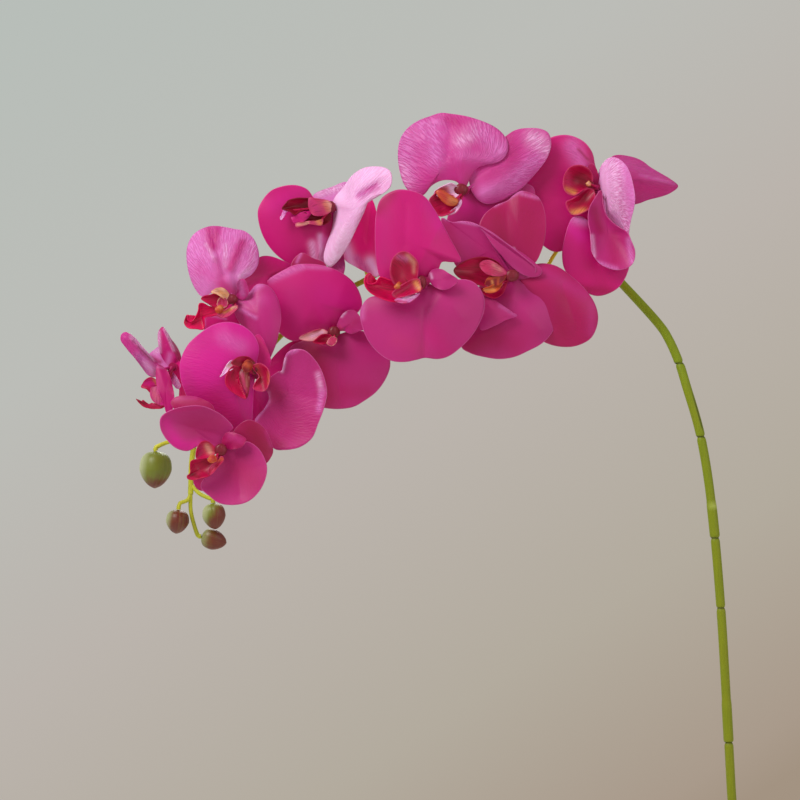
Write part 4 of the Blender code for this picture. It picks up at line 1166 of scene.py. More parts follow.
# %% The tenth bloom, at the front
BLOOMS["10"] = dict(
    heart=(-358, -75, 462),
    petals={
        "upper wing": leaf(
            MAUVE, 8, 1, 13, (3, 2), -3,
            [(226, 448), (214, 447), (203, 443), (196, 447), (187, 451), (176, 448), (167, 440),
             (161, 430), (160, 420), (164, 414), (174, 409), (188, 406), (202, 406), (213, 410),
             (223, 416), (233, 427), (228, 434)],
            folds=[((222, 436), (180, 424), 14, -1.2)],
            marks=[((195, 425), (215, 425), 14, CRIMSON, .5), ((166, 424), (176, 440), 6, BRIGHT, .8),
                   ((180, 444), (194, 446), 5, BRIGHT, .6), ((172, 411), (200, 407), 2, MAGENTA, .5)]),
        "lower wing": leaf(
            MAUVE, 8, 0, 8, (3, 3), -2,
            [(226, 444), (219, 452), (216, 462), (212, 472), (203, 480), (201, 488), (208, 495),
             (219, 503), (233, 505), (247, 502), (258, 493), (265, 480), (267, 467), (263, 455),
             (257, 447), (249, 442), (241, 442), (235, 446)],
            folds=[((236, 452), (240, 495), 10, -1.2)],
            marks=[((240, 470), (252, 480), 18, CRIMSON, .7), ((222, 462), (226, 456), 5, DEEP, .3)]),
        "back sepal": leaf(
            CRIMSON, 5, -5, -3, (2, 2), 2,
            [(230, 440), (236, 428), (247, 420), (258, 423), (267, 432), (273, 449), (270, 459),
             (264, 464), (252, 460), (240, 450)],
            marks=[((252, 432), (262, 450), 12, DEEP, .8), ((266, 432), (271, 446), 2, MAUVE, .6)]),
        "upper sepal": leaf(
            CRIMSON, 4, -8, -3, (0, 0), 2,
            [(214, 430), (196, 424), (180, 414), (171, 404), (176, 397), (189, 396), (202, 399),
             (214, 408)],
            marks=[((176, 399), (196, 398), 2.5, MAUVE, .7)]),
        "lower sepal": leaf(
            CRIMSON, 5, -2, -6, (0, 0), 1,
            [(217, 460), (208, 463), (200, 468), (194, 476), (194, 484), (199, 490), (207, 490),
             (213, 484), (217, 472)],
            marks=[((196, 484), (204, 490), 3, MAGENTA, .5)]),
        "ear": leaf(
            CRIMSON, 4, 2, 5, (1, 2), 2,
            [(222, 444), (224, 435), (229, 432), (238, 434), (246, 439), (243, 446), (236, 449),
             (229, 449)],
            marks=[((230, 436), (240, 440), 4, MAUVE, .7)]),
    },
    lip={
        "hood": leaf(
            RED, 5, 8, 4, (1, 2), -2,
            [(217, 451), (213, 445), (207, 441), (201, 442), (197, 448), (196, 458), (202, 459),
             (208, 458), (213, 456)],
            marks=[((207, 446), (210, 452), 3, CREAM, .6), ((200, 446), (199, 455), 3, CRIMSON, .7)],
            rim=RED),
        "tongue": leaf(
            RED, 8, 9, 6, (2, 3), -2,
            [(219, 460), (211, 460), (204, 458), (197, 459), (191, 461), (190, 467), (190, 473),
             (187, 476), (188, 479), (194, 480), (202, 478), (209, 476), (214, 470)],
            marks=[((191, 474), (200, 478), 2.5, WINE, .8), ((204, 462), (212, 466), 3, WINE, .4),
                   ((193, 468), (208, 472), 7, WINE, .3)], rim=RED),
        "callus": leaf(
            ORANGE, 3, 12, 3, (1, 1), 2,
            [(216, 457), (213, 455), (209, 457), (208, 461), (212, 463), (216, 461)],
            marks=[((212, 457), (213, 459), 1.5, RED, .5)], rim=GOLD),
        "lower lobe": leaf(
            RED, 5, 9, 5, (1, 1), 0,
            [(222, 456), (219, 459), (214, 463), (210, 467), (208, 472), (209, 476), (214, 472),
             (219, 466), (224, 460)],
            marks=[((217, 460), (222, 459), 2, ORANGE, .8), ((211, 468), (215, 464), 1.5, PINK, .7)],
            rim=PINK),
    },
    knob=((0, -8, 0), (4.2, 4.2)),
)
print(sum(len(row["petals"]) for row in BLOOMS.values()), "petals and",
      sum(len(row["lip"]) for row in BLOOMS.values()), "lobes")

# %% [markdown]
# ## The petal's material
#
# The real petals are satin: fine veins are pressed into them and fan out from the root. They show most
# where the cloth takes the light, near the margin, and hardly at all in the flat middle. The margin is
# a little paler, and towards the root the petal darkens with painted shade. A pattern that has to fan
# out can't come from plain coordinates, so the angle round the root and the distance from it are worked
# out from "spot", and noise that is stretched along that distance becomes the veins. They are a bump,
# and between them the petal gets painted shade where "sheen" is high, which the lilac and pale strokes
# raise.

# %% Petal material
# The veins: how many, how long, how much they wander, how far outside the petal they meet, how deep
VEINS_A_RADIAN = 52.0
VEIN_STRETCH = 4.5
VEIN_WANDER = 4.0
ROOT_POINT = 1.25
VEIN_DEPTH = 0.0007
# Pairs say where a smooth step begins and ends. The veins rise between two values of the noise, and
# begin to show between two distances from the root
VEIN_STEP = (0.4, 0.6)
VEINS_SHOW = (0.3, 1.5)
PLAIN_SHARE = 0.05
# The painted shade between the veins, the colour of the faint clouds, the painted shade towards the
# root, the colour of the margin, and their shares
VEIN_CREASE_SHADE = colour(186, 36, 136)
VEIN_CREASE_SHARE = 0.55
CLOUDED = colour(150, 12, 82)
CLOUD_STEP = (0.35, 0.75)
CLOUD_SHARE = 0.18
ROOT_SHADE = colour(140, 10, 60)
ROOT_SHADE_STEP = (0.62, 0.25)
ROOT_SHADE_SHARE = 0.45
MARGIN_PINK = colour(238, 140, 204)
MARGIN_STEP = (0.975, 0.998)
MARGIN_SHARE = 0.22

petal_look = new_surface("satin petal")
p, q, seed = petal_look.split(petal_look.attribute("spot", "Vector"))
tone = petal_look.attribute("tone", "Color")
sheen = petal_look.attribute("sheen", "Fac")
radius = (p * p + q * q).math("SQRT")
from_root = p + ROOT_POINT
fan = q.math("ARCTAN2", from_root)
distance = (from_root * from_root + q * q).math("SQRT")
wander = petal_look.noise(petal_look.vector(p * 1.5, q * 1.5, seed), 1.0, 1.0)
fanned = petal_look.vector(fan * VEINS_A_RADIAN + wander * VEIN_WANDER, distance * VEIN_STRETCH, seed)
veins = petal_look.noise(fanned, 1.0, 2.0)
ridges = petal_look.step(veins, *VEIN_STEP)
strength = petal_look.step(distance, *VEINS_SHOW) * (sheen * (1 - PLAIN_SHARE) + PLAIN_SHARE)
clouds = petal_look.noise(petal_look.vector(p, q, seed), 1.1, 1.0)
deep = petal_look.mix(petal_look.step(clouds, *CLOUD_STEP) * CLOUD_SHARE, tone, CLOUDED)
# Painted shade between the veins where the sheen is high, and painted shade towards the root
vein_shaded = petal_look.mix((1 - ridges) * strength * VEIN_CREASE_SHARE, deep, VEIN_CREASE_SHADE)
root_shaded = petal_look.mix(petal_look.step(distance, *ROOT_SHADE_STEP) * ROOT_SHADE_SHARE, vein_shaded, ROOT_SHADE)
edged = petal_look.mix(petal_look.step(radius, *MARGIN_STEP) * MARGIN_SHARE, root_shaded, MARGIN_PINK)
relief = petal_look.bump(ridges * strength, VEIN_DEPTH, 0.55)
petal_material = petal_look.finish(
    Base_Color=edged, Roughness=0.42 + veins * 0.08, Normal=relief, Specular_IOR_Level=0.3,
    Sheen_Weight=0.04, Sheen_Roughness=0.4, Sheen_Tint=colour(225, 150, 255),
    Subsurface_Weight=0.08, Subsurface_Radius=(0.004, 0.001, 0.002), Subsurface_Scale=1.0)
print("petal material", len(petal_look.tree.nodes), "nodes")

# %% [markdown]
# ## The lip's material
#
# The lobes of a lip are waxier than the petals. Their red is deepest inside, the rim is gold, cream or
# pink, and thin dark lines run along them with freckles between.

# %% Lip material
RIM_STEP = (0.86, 1.0)
RIM_SHARE = 0.7
RIM_UNEVEN = 0.25
DARK_LINE = colour(110, 8, 26)
LINE_STEP = (0.56, 0.66)
LINE_SHARE = 0.4
FRECKLE = colour(130, 14, 30)
FRECKLE_STEP = (0.62, 0.7)
FRECKLE_SHARE = 0.25

lip_look = new_surface("waxy lip")
p, q, seed = lip_look.split(lip_look.attribute("spot", "Vector"))
inner = lip_look.attribute("tone", "Color")
rim = lip_look.attribute("rim", "Color")
radius = (p * p + q * q).math("SQRT")
spots = lip_look.vector(p, q, seed)
blotch = lip_look.noise(spots, 2.2, 2.0)
toward_rim = lip_look.step(radius + (blotch - 0.5) * RIM_UNEVEN, *RIM_STEP)
shaded = lip_look.mix(toward_rim * RIM_SHARE, inner, rim)
lines = lip_look.noise(lip_look.vector(p * 1.2, q * 9.0, seed), 1.0, 1.0)
inside = lip_look.step(lines, *LINE_STEP) * (1 - toward_rim)
lined = lip_look.mix(inside * LINE_SHARE, shaded, DARK_LINE)
freckles = lip_look.step(lip_look.noise(spots, 14.0, 1.0), *FRECKLE_STEP)
freckled = lip_look.mix(freckles * FRECKLE_SHARE, lined, FRECKLE)
lip_relief = lip_look.bump(lines, 0.0004, 0.4)
lip_material = lip_look.finish(
    Base_Color=freckled, Roughness=0.4, Specular_IOR_Level=0.28, Normal=lip_relief,
    Coat_Weight=0.06, Coat_Roughness=0.25,
    Subsurface_Weight=0.1, Subsurface_Radius=(0.003, 0.001, 0.001), Subsurface_Scale=1.0)
print("lip material", len(lip_look.tree.nodes), "nodes")

# %% [markdown]
# ## Making the blooms
#
# A bloom is its petals joined round a short heart. A petal whose root is off the heart is carried by a
# narrow claw, as on the real flower. All of a bloom's petals become one object, because the real bloom
# is one piece of one material.

# %% Sizes of the heart and the claws
HEART_RADIUS = 3.0
HEART_FRONT = 4.5
HEART_BACK = 3.0
CLAW_RADIUS = 1.2
CLAW_TAPER = 0.8
# A claw ends just inside the petal's root and a little behind its face
CLAW_REACH = -0.85
CLAW_DEEP = 0.9
# Each petal's noise has a number. A bloom's numbers begin so far after the bloom's before, and a lip's
SEEDS_A_BLOOM = 7
SEEDS_A_LIP = 5


def petal_place(heart, petal, p):
    """One place on a petal's middle line, from the root, -1, to the tip, 1."""
    return Vector(petal_points(heart, petal, np.array([p]), np.zeros(1))[0])


def claw_end(heart, petal):
    return petal_place(heart, petal, CLAW_REACH) + Vector((0, CLAW_DEEP, 0))


def make_bloom(number, row):
    """A bloom's petals, its heart and its claws, as one object."""
    heart = Vector(row["heart"])
    front, back = heart - Vector((0, HEART_FRONT, 0)), heart + Vector((0, HEART_BACK, 0))
    pieces = [rod(front, back, HEART_RADIUS, HEART_RADIUS, CRIMSON, 24)]
    for seed, petal in enumerate(row["petals"].values()):
        pieces.append(petal_piece(heart, petal, PETAL_ROWS, seed + int(number) * SEEDS_A_BLOOM))
        if (petal_place(heart, petal, -1.0) - heart).xz.length > HEART_RADIUS / 2:
            end = claw_end(heart, petal)
            pieces.append(rod(heart, end, CLAW_RADIUS, CLAW_RADIUS * CLAW_TAPER, petal["tone"]))
    dress(join(pieces, "petals_" + number), petal_material, "petal", "bloom_" + number)


for number, row in BLOOMS.items():
    make_bloom(number, row)

# %% [markdown]
# ## Making the lips
#
# The lip stands on the front of the heart: its lobes spread from the column, whose tip is a small
# brown knob with a cleft where the pollen sits. The knob starts as a sphere that is scaled, and its
# cleft is pressed in by moving the points near the middle plane.

# %% Lips
SEAT_GAP = 0.3
POST_RADIUS = 1.6
POST_LENGTH = 2.2
POST_TIP_RADIUS = 1.3
# A lobe whose root lies outside this share of the knob gets a claw, with these radii at its ends
CLAW_BEYOND = 0.7
LOBE_CLAW = (1.1, 0.7)
# The cleft, in the knob's radii: its depth, its width and how high it reaches
CLEFT_DEPTH = 0.22
CLEFT_WIDTH = 0.16
CLEFT_TOP = 0.6
KNOB_FLATNESS = 3.2
KNOB_SEED = 1.5
POLLEN = colour(176, 150, 110)


def make_knob(middle, across, up):
    """The column's tip: a ball of this half width and half height, with its cleft."""
    deselect()
    bpy.ops.mesh.primitive_uv_sphere_add(segments=32, ring_count=20, radius=1)
    made = bpy.context.object
    x, y, z = points_of(made.data).T
    cleft = 1 - CLEFT_DEPTH * np.exp(-((x / CLEFT_WIDTH) ** 2)) * (z < CLEFT_TOP) * (y < 0)
    spots = np.column_stack((x / 2, z / 2, np.full_like(x, KNOB_SEED)))
    paint(made.data, spots, COLUMN, POLLEN)
    deep = (across + up) / KNOB_FLATNESS
    place_points(made.data, np.column_stack((x * across, y * deep * cleft, z * up)) + np.array(middle))
    bpy.ops.object.shade_smooth()
    return made


def make_lip(number, row):
    """A lip's lobes, its knob and the post that carries them, as one object."""
    heart = Vector(row["heart"])
    middle, (across, up) = row["knob"]
    middle = heart + Vector(middle)
    foot = heart - Vector((0, HEART_FRONT + SEAT_GAP, 0))
    bend = foot - Vector((0, POST_LENGTH, 0))
    pieces = [rod(foot, bend, POST_RADIUS, POST_RADIUS, CRIMSON, 16),
              rod(foot.lerp(bend, 0.6), middle, POST_RADIUS, POST_TIP_RADIUS, CRIMSON, 16),
              make_knob(middle, across, up)]
    for seed, lobe in enumerate(row["lip"].values()):
        pieces.append(petal_piece(heart, lobe, LOBE_ROWS, seed + int(number) * SEEDS_A_LIP))
        if (petal_place(heart, lobe, -1.0) - middle).length > CLAW_BEYOND * min(across, up):
            pieces.append(rod(foot.lerp(bend, 0.5), claw_end(heart, lobe), *LOBE_CLAW, RED))
    dress(join(pieces, "lobes_" + number), lip_material, "lip", "lip_" + number)


for number, row in BLOOMS.items():
    make_lip(number, row)

# %% [markdown]
# ## The stem and its stalks
#
# The stem is built of sleeves pushed over a core: each length ends in a rounded lower lip, and a dark
# groove shows where the next begins. A curve with a bevel follows the route, and its radius at each
# point makes the sleeves. The thin stalks of the blooms and the buds are curves too. All are made
# meshes and joined, so one object holds the whole stem.

# %% Route of the stem and the stalks, in millimetres
STEM_ROUTE = [
    (0, 0, 8.3), (0, 0, 60), (0, 0, 122), (-3, 0, 165), (-7, 0, 215), (-9, 2, 255), (-14, 5, 348),
    (-20, 9, 421), (-27, 13, 469), (-37, 17, 506), (-41.3, 20, 521), (-48.2, 22.5, 537.6),
    (-56.4, 25, 550.4), (-79.5, 30, 576.6), (-96, 34, 594), (-114, 36, 607),
    (-139, 36, 613), (-168, 36, 615), (-196, 36, 611), (-225, 35, 601), (-256, 34, 585),
    (-297, 30, 563), (-325, 26, 540), (-342, 20, 518), (-363, 12, 491), (-380, 6, 473),
    (-385, 3, 456), (-386, 0, 429),
]
# Each bloom's stalk, from the stem to just behind its heart
STALKS = {
    "01": [(-114, 36, 607), (-110, 38, 622), (-104, 32, 638), (-101, 22, 644)],
    "02": [(-196, 36, 611), (-197, 34, 628), (-195, 18, 640)],
    "03": [(-122, 36, 609), (-129, 33, 599), (-136, 26, 589), (-149, 8, 582), (-160, -12, 580)],
    "04": [(-210, 36, 607), (-216, 24, 592), (-221, -8, 579), (-222, -34, 575)],
    "05": [(-262, 34, 582), (-268, 36, 600), (-280, 30, 623), (-286, 18, 630)],
    "06": [(-305, 29, 557), (-298, 22, 548), (-288, 8, 543)],
    "07": [(-325, 26, 540), (-338, 22, 552), (-350, 0, 562), (-354, -14, 564)],
    "08": [(-345, 18, 514), (-342, -4, 513), (-336, -34, 512)],
    "09": [(-368, 10, 487), (-380, 18, 500), (-396, 12, 518)],
    "10": [(-383, 4, 466), (-374, -18, 466), (-359, -52, 462)],
}

# Each bud: middle, the way it points, thickness, length, and the stalk that carries it
BUDS = {
    "1": dict(middle=(-410, -6, 446.5), points=(-.04, 0, -1), thick=22.3, long=25.5,
              stalk=[(-383, 4, 464), (-390, 0, 467), (-400, -4, 466)]),
    "2": dict(middle=(-395, -3, 410), points=(-.1, 0, -1), thick=16, long=16.5,
              stalk=[(-386, 0, 429), (-388, -1, 425), (-393, -3, 423)]),
    "3": dict(middle=(-369, -5, 414), points=(.1, 0, -1), thick=16, long=18,
              stalk=[(-386, 1, 436), (-380, -2, 430), (-374, -4, 427)]),
    "4": dict(middle=(-370, 4, 397), points=(1, 0, -.27), thick=14.3, long=17.8,
              stalk=[(-386, 0, 429), (-386, 1, 418), (-384, 3, 408)]),
}

# %% A smooth route through a list of points
def smooth_route(points, spacing):
    """Points at about even spacing along a smooth curve through the given ones."""
    points = [Vector(point) for point in points]
    ends = [2 * points[0] - points[1], *points, 2 * points[-1] - points[-2]]
    found = []
    for before, start, end, after in zip(ends, ends[1:], ends[2:], ends[3:]):
        steps = max(1, round((end - start).length / spacing))
        found += [between(before, start, end, after, step / steps) for step in range(steps)]
    return [*found, points[-1]]


def tube(name, points, radii):
    """A curve with a round bevel along the points, made a mesh."""
    curve = bpy.data.curves.new(name, "CURVE")
    curve.dimensions = "3D"
    curve.bevel_depth = MM
    curve.bevel_resolution = 6
    curve.use_fill_caps = True
    spline = curve.splines.new("POLY")
    spline.points.add(len(points) - 1)
    for spot, point, radius in zip(spline.points, points, radii):
        spot.co = (*(Vector(point) * MM), 1)
        spot.radius = radius
    made = bpy.data.objects.new(name, curve)
    bpy.context.scene.collection.objects.link(made)
    deselect()
    made.select_set(True)
    bpy.context.view_layer.objects.active = made
    bpy.ops.object.convert(target="MESH")
    made = bpy.context.object
    bpy.ops.object.mode_set(mode="EDIT")
    bpy.ops.mesh.select_all(action="SELECT")
    bpy.ops.mesh.remove_doubles(threshold=0.00001)
    bpy.ops.object.mode_set(mode="OBJECT")
    bpy.ops.object.shade_smooth_by_angle(angle=radians(60))
    return made


# %% The stem's thickness
STEM_RADIUS_LOW = 3.2
STEM_RADIUS_TOP = 1.9
# Shares of the stem's length: where it begins to taper, how long that takes, where the grooves end
TAPER_FROM = 0.56
TAPER_OVER = 0.25
GROOVES_END = 0.6
# Heights of the grooves and of the sleeves
GROOVES = (255.0, 349.0, 398.0, 469.0, 521.0)
SLEEVES = ((255.0, 283.0), (398.0, 421.0))
SLEEVE_SWELL = 0.35
LIP_HEIGHT = 2.2
SHOULDER_HEIGHT = 3.0
SHOULDER_DEPTH = 0.8
# Within this reach of a groove the curve keeps all its fine points, and elsewhere every eighth one
GROOVE_REACH = 5
FINE_STEP = 0.5
COARSE_EVERY = 8


def stem_radius(height, share):
    """Tapering to the tip. Above each groove a sleeve ends in a rounded lip, and below it the next
    length has a rounded shoulder."""
    tapered = min(1, max(0, share - TAPER_FROM) / TAPER_OVER)
    radius = STEM_RADIUS_LOW + (STEM_RADIUS_TOP - STEM_RADIUS_LOW) * tapered
    for low, high in SLEEVES:
        radius += SLEEVE_SWELL * (low < height < high)
    if share > GROOVES_END:
        return radius
    for groove in GROOVES:
        above = height - groove
        if 0 <= above < LIP_HEIGHT:
            radius *= sqrt(1 - 0.5 * (1 - above / LIP_HEIGHT) ** 2)
        if -SHOULDER_HEIGHT < above < 0:
            radius -= SHOULDER_DEPTH * (1 + above / SHOULDER_HEIGHT) ** 2
    return radius


def is_kept(points, i):
    """Whether the stem needs the point with this number."""
    near_groove = min(abs(points[i].z - groove) for groove in GROOVES) < GROOVE_REACH
    return i % COARSE_EVERY == 0 or (near_groove and i < len(points) * GROOVES_END)


fine = smooth_route(STEM_ROUTE, FINE_STEP)
kept = [i for i in range(len(fine)) if is_kept(fine, i)] + [len(fine) - 1]
radii = [stem_radius(fine[i].z, i / len(fine)) for i in kept]
stem_parts = [tube("stem_main", [fine[i] for i in kept], radii)]
print(len(kept), "points along the stem")

# %% Stalks
STALK_RADIUS = 1.4
STALK_STEP = 3
BUD_STALK_STEP = 1.5
BUD_STALK_STRAIGHT = 2.5


def stalk(name, path, widening, power):
    """A thin stalk that widens at its end: the higher the power, the later."""
    radii = [STALK_RADIUS * (1 + widening * (i / len(path)) ** power) for i in range(len(path))]
    return tube(name, path, radii)


for number, points in STALKS.items():
    end = Vector(BLOOMS[number]["heart"]) + Vector((0, HEART_BACK + SEAT_GAP, 0))
    path = smooth_route([*points, end], STALK_STEP)
    stem_parts.append(stalk("stalk_" + number, path, widening=0.35, power=4))
for number, bud in BUDS.items():
    way = Vector(bud["points"]).normalized()
    end = Vector(bud["middle"]) - way * (bud["long"] / 2 + SEAT_GAP)
    path = smooth_route([*bud["stalk"], end - way * BUD_STALK_STRAIGHT, end], BUD_STALK_STEP)
    stem_parts.append(stalk("bud_stalk_" + number, path, widening=0.3, power=6))

# %% [markdown]
# ## The stem's finish
#
# The sleeves are a lime green that turns olive on the arch and yellow-green towards the buds, and the
# thin stalks of the blooms are a lighter, yellower green than the stem beside them, which the attribute
# "stalk" says: partly their own colour, partly painted light that lifts them where they lie in the
# blooms' shade. Fine fibres run along the stem, the grooves are darkened with painted shade, and a seam
# runs lengthwise in the sleeve below the highest groove. The fibres are noise that is stretched along
# the stem's height. How dark a groove is, and how bright the painted highlight on a sleeve's upper end,
# comes from the attribute "spot", which is worked out from the height of each point.

# %% Stem
# How much lighter green the blooms' stalks are than the stem, partly their own colour and partly
# painted light against the shade they lie in, and the third bloom's, which shows most and lies in shade
STALK_GREEN_AND_LIGHT = 0.6
SHADED_STALK_GREEN_AND_LIGHT = 1.0
# The grooves and sleeves are right of this place, on the upright part of the stem
UPRIGHT_FROM = -100
# How far from its height a groove gets painted shade, and a sleeve's upper end a painted highlight
GROOVE_WIDTH = 0.6
SLEEVE_HIGHLIGHT_WIDTH = 0.9

for part in stem_parts:
    green_and_light = SHADED_STALK_GREEN_AND_LIGHT if part.name == "stalk_03" else STALK_GREEN_AND_LIGHT * part.name.startswith("stalk")
    remember(part.data, "stalk", "FLOAT", np.full(len(part.data.vertices), green_and_light))
stem = join(stem_parts, "stem_and_stalks")
x, y, z = points_of(stem.data).T / MM
# The grooves get painted shade, and the sleeves' upper ends a painted highlight.
groove_shade = sum(np.exp(-(((z - groove) / GROOVE_WIDTH) ** 2)) for groove in GROOVES)
sleeve_highlight = sum(np.exp(-(((z - high) / SLEEVE_HIGHLIGHT_WIDTH) ** 2)) for low, high in SLEEVES)
upright = x > UPRIGHT_FROM
spots = np.column_stack((groove_shade * upright, sleeve_highlight * upright, 0 * x))
remember(stem.data, "spot", "FLOAT_VECTOR", spots)

# The seam, in metres: its lower end, its lean, its upper end, its width, and how softly it ends
SEAM_LOW = (-0.0252, 0.4715)
SEAM_LEAN = -0.27
SEAM_HIGH = 0.508
SEAM_WIDTH = 0.001
SEAM_FADES_LOW = 0.006
SEAM_FADES_HIGH = 0.02
# It shows on the front half only: the stem's middle there, a height and the depth at it, and its lean
AXIS_HEIGHT = 0.421
AXIS_DEPTH = 0.009
AXIS_LEAN = 0.094
FRONT_FADES = 0.0008

# The stem's green from its tip on the left, 0, to its foot on the right, 1
STEM_HUES = [
    (0.0, colour(204, 206, 58)), (0.1, colour(176, 184, 46)), (0.3, colour(150, 162, 20)),
    (0.6, colour(138, 154, 14)), (0.85, colour(128, 150, 12)), (0.94, colour(122, 136, 10)),
    (1.0, colour(126, 134, 12)),
]
STEM_WIDTH = 0.4
STALK_GREEN = colour(234, 252, 60)
AGED = colour(134, 136, 14)
AGED_STEP = (0.35, 0.7)
AGED_SHARE = 0.3
FIBRE = colour(96, 110, 14)
FIBRE_STEP = (0.4, 0.75)
FIBRE_SHARE = 0.3
# The painted highlight on a sleeve's upper end, and the painted shade in the grooves, with their shares
SLEEVE_END_HIGHLIGHT = colour(206, 220, 120)
SLEEVE_HIGHLIGHT_SHARE = 0.5
GROOVE_DARK = colour(40, 46, 12)
GROOVE_SHARE = 0.85
SEAM_SHARE = 0.7

stem_look = new_surface("stem sleeve")
dark, light, _ = stem_look.split(stem_look.attribute("spot", "Vector"))
place = stem_look.place()
x, y, z = stem_look.split(place)
fibres = stem_look.noise(stem_look.vector(x * 900, y * 900, z * 40), 1.0, 3.0)
patches = stem_look.noise(place, 45.0, 2.0)
hue = stem_look.node("ShaderNodeValToRGB", {"stops": STEM_HUES}, {"Fac": (x + STEM_WIDTH) / STEM_WIDTH})
green = stem_look.mix(stem_look.attribute("stalk", "Fac"), hue, STALK_GREEN)
aged = stem_look.mix(stem_look.step(patches, *AGED_STEP) * AGED_SHARE, green, AGED)
streaked = stem_look.mix(stem_look.step(fibres, *FIBRE_STEP) * FIBRE_SHARE, aged, FIBRE)
edged = stem_look.mix(light * SLEEVE_HIGHLIGHT_SHARE, streaked, SLEEVE_END_HIGHLIGHT)
beside = SEAM_LOW[0] + (z - SEAM_LOW[1]) * SEAM_LEAN - x
across = stem_look.step((beside * beside).math("SQRT"), SEAM_WIDTH, 0.0)
above = stem_look.step(z, SEAM_LOW[1], SEAM_LOW[1] + SEAM_FADES_LOW)
below = stem_look.step(z, SEAM_HIGH, SEAM_HIGH - SEAM_FADES_HIGH)
in_front = stem_look.step(y - (z - AXIS_HEIGHT) * AXIS_LEAN, AXIS_DEPTH, AXIS_DEPTH - FRONT_FADES)
seam = across * above * below * in_front
groove_shaded_and_seamed = stem_look.mix(dark * GROOVE_SHARE + seam * SEAM_SHARE, edged, GROOVE_DARK)
stem_relief = stem_look.bump(fibres, 0.0002, 0.5)
stem_material = stem_look.finish(
    Base_Color=groove_shaded_and_seamed, Roughness=0.5, Normal=stem_relief, Specular_IOR_Level=0.3)
dress(stem, stem_material, "stem", "stem")

# %% [markdown]
# ## The buds
#
# A closed bud is three outer sepals wrapped round each other: an egg with a blunt tip, three soft ribs
# and a thin seam between each two. It starts as a sphere, whose points are moved: narrower towards the
# tip, blunt at the stalk, fuller on the ribs, pinched at the seams. Each bud ripens brown-red at the tip
# and on its right side, and its upper left side gets a pale painted highlight, so how far a point lies
# to the right, and how far down, is remembered with it.

# %% Buds
HALF_SEPAL = pi / 3
# Shares of the bud's thickness
BUD_TAPER = 0.45
BUD_SHOULDER = 1.2
BUD_RIB = 0.05
SEAM_DEPTH = 0.035
# How wide a seam is, as an angle round the bud
SEAM_ANGLE = 0.07
# The tip's small point: a share of the bud's length, and its width on the sphere that the bud starts as
TIP_POINT = 0.03
TIP_WIDTH = 0.08
BUD_GREEN = colour(112, 122, 30)
BUD_BROWN = colour(104, 34, 16)
# The colour of the pale painted highlight on a bud's upper left side
BUD_LEFT_HIGHLIGHT = colour(196, 204, 164)
# How far the brown has come on each bud, and how much more it grows to the right and downward
RIPENESS = {"1": (0.22, 0.3, 1.15), "2": (0.85, 0.9, 0.3), "3": (0.66, 0.9, 0.6), "4": (0.75, 0.5, 0.2)}
# How strong the painted highlight is on each, and how it gathers to the left and upward, past a threshold
LEFT_HIGHLIGHT_STRENGTH = {"1": 0.9, "2": 0.7, "3": 0.8, "4": 0.25}
HIGHLIGHT_LEFTWARD = 3
HIGHLIGHT_UPWARD = 0.5
HIGHLIGHT_FROM = 0.6
# How much the noises move the brown's edge, and the paler streaks
MOTTLED = 0.35
LENGTHWISE = 0.5
BROWN_STEP = (0.3, 0.8)
BUD_STREAK = colour(150, 150, 70)
STREAK_STEP = (0.55, 0.75)
STREAK_SHARE = 0.25


def make_bud(number, bud):
    """One bud, with its ripeness and its painted highlight remembered for each point."""
    deselect()
    bpy.ops.mesh.primitive_uv_sphere_add(segments=64, ring_count=40, radius=0.5)
    made = bpy.context.object
    x, y, z = points_of(made.data).T
    around = np.arctan2(y, x)
    from_rib = np.abs((around + HALF_SEPAL) % (2 * HALF_SEPAL) - HALF_SEPAL)
    seam = SEAM_DEPTH * np.exp(-(((HALF_SEPAL - from_rib) / SEAM_ANGLE) ** 2))
    outline = 1 - BUD_TAPER * np.maximum(z, 0) + BUD_SHOULDER * np.minimum(z, 0) ** 2
    wide = bud["thick"] * outline * (1 + BUD_RIB * np.cos(3 * around) - seam)
    pointed = 1 + TIP_POINT * np.exp(-((np.hypot(x, y) / TIP_WIDTH) ** 2)) * (z > 0)
    turn = np.array(Vector(bud["points"]).to_track_quat("Z", "Y").to_matrix())
    places = np.column_stack((x * wide, y * wide, z * bud["long"] * pointed)) @ turn.T
    to_right, _, upward = (places / bud["thick"]).T
    ripeness, sideways, downward = RIPENESS[number]
    ripe = ripeness + to_right * sideways - upward * downward
    spots = np.column_stack((np.cos(around), np.sin(around), ripe))
    left_highlight = np.clip(upward * HIGHLIGHT_UPWARD - to_right * HIGHLIGHT_LEFTWARD - HIGHLIGHT_FROM, 0, 1) * LEFT_HIGHLIGHT_STRENGTH[number]
    paint(made.data, spots, BUD_GREEN, BUD_BROWN, left_highlight)
    place_points(made.data, places + np.array(bud["middle"]))
    bpy.ops.object.shade_smooth()
    made.name = made.data.name = "closed_bud_" + number
    return made


bud_look = new_surface("bud skin")
around_x, around_y, ripe = bud_look.split(bud_look.attribute("spot", "Vector"))
mottle = bud_look.noise(bud_look.place(), 160.0, 3.0)
lengthwise = bud_look.noise(bud_look.vector(around_x * 5.0, around_y * 5.0, ripe), 1.4, 3.0)
uneven = (mottle - 0.5) * MOTTLED + (lengthwise - 0.5) * LENGTHWISE
brown = bud_look.step(ripe + uneven, *BROWN_STEP)
skin = bud_look.mix(brown, bud_look.attribute("tone", "Color"), bud_look.attribute("rim", "Color"))
streaked = bud_look.mix(bud_look.step(lengthwise, *STREAK_STEP) * STREAK_SHARE, skin, BUD_STREAK)
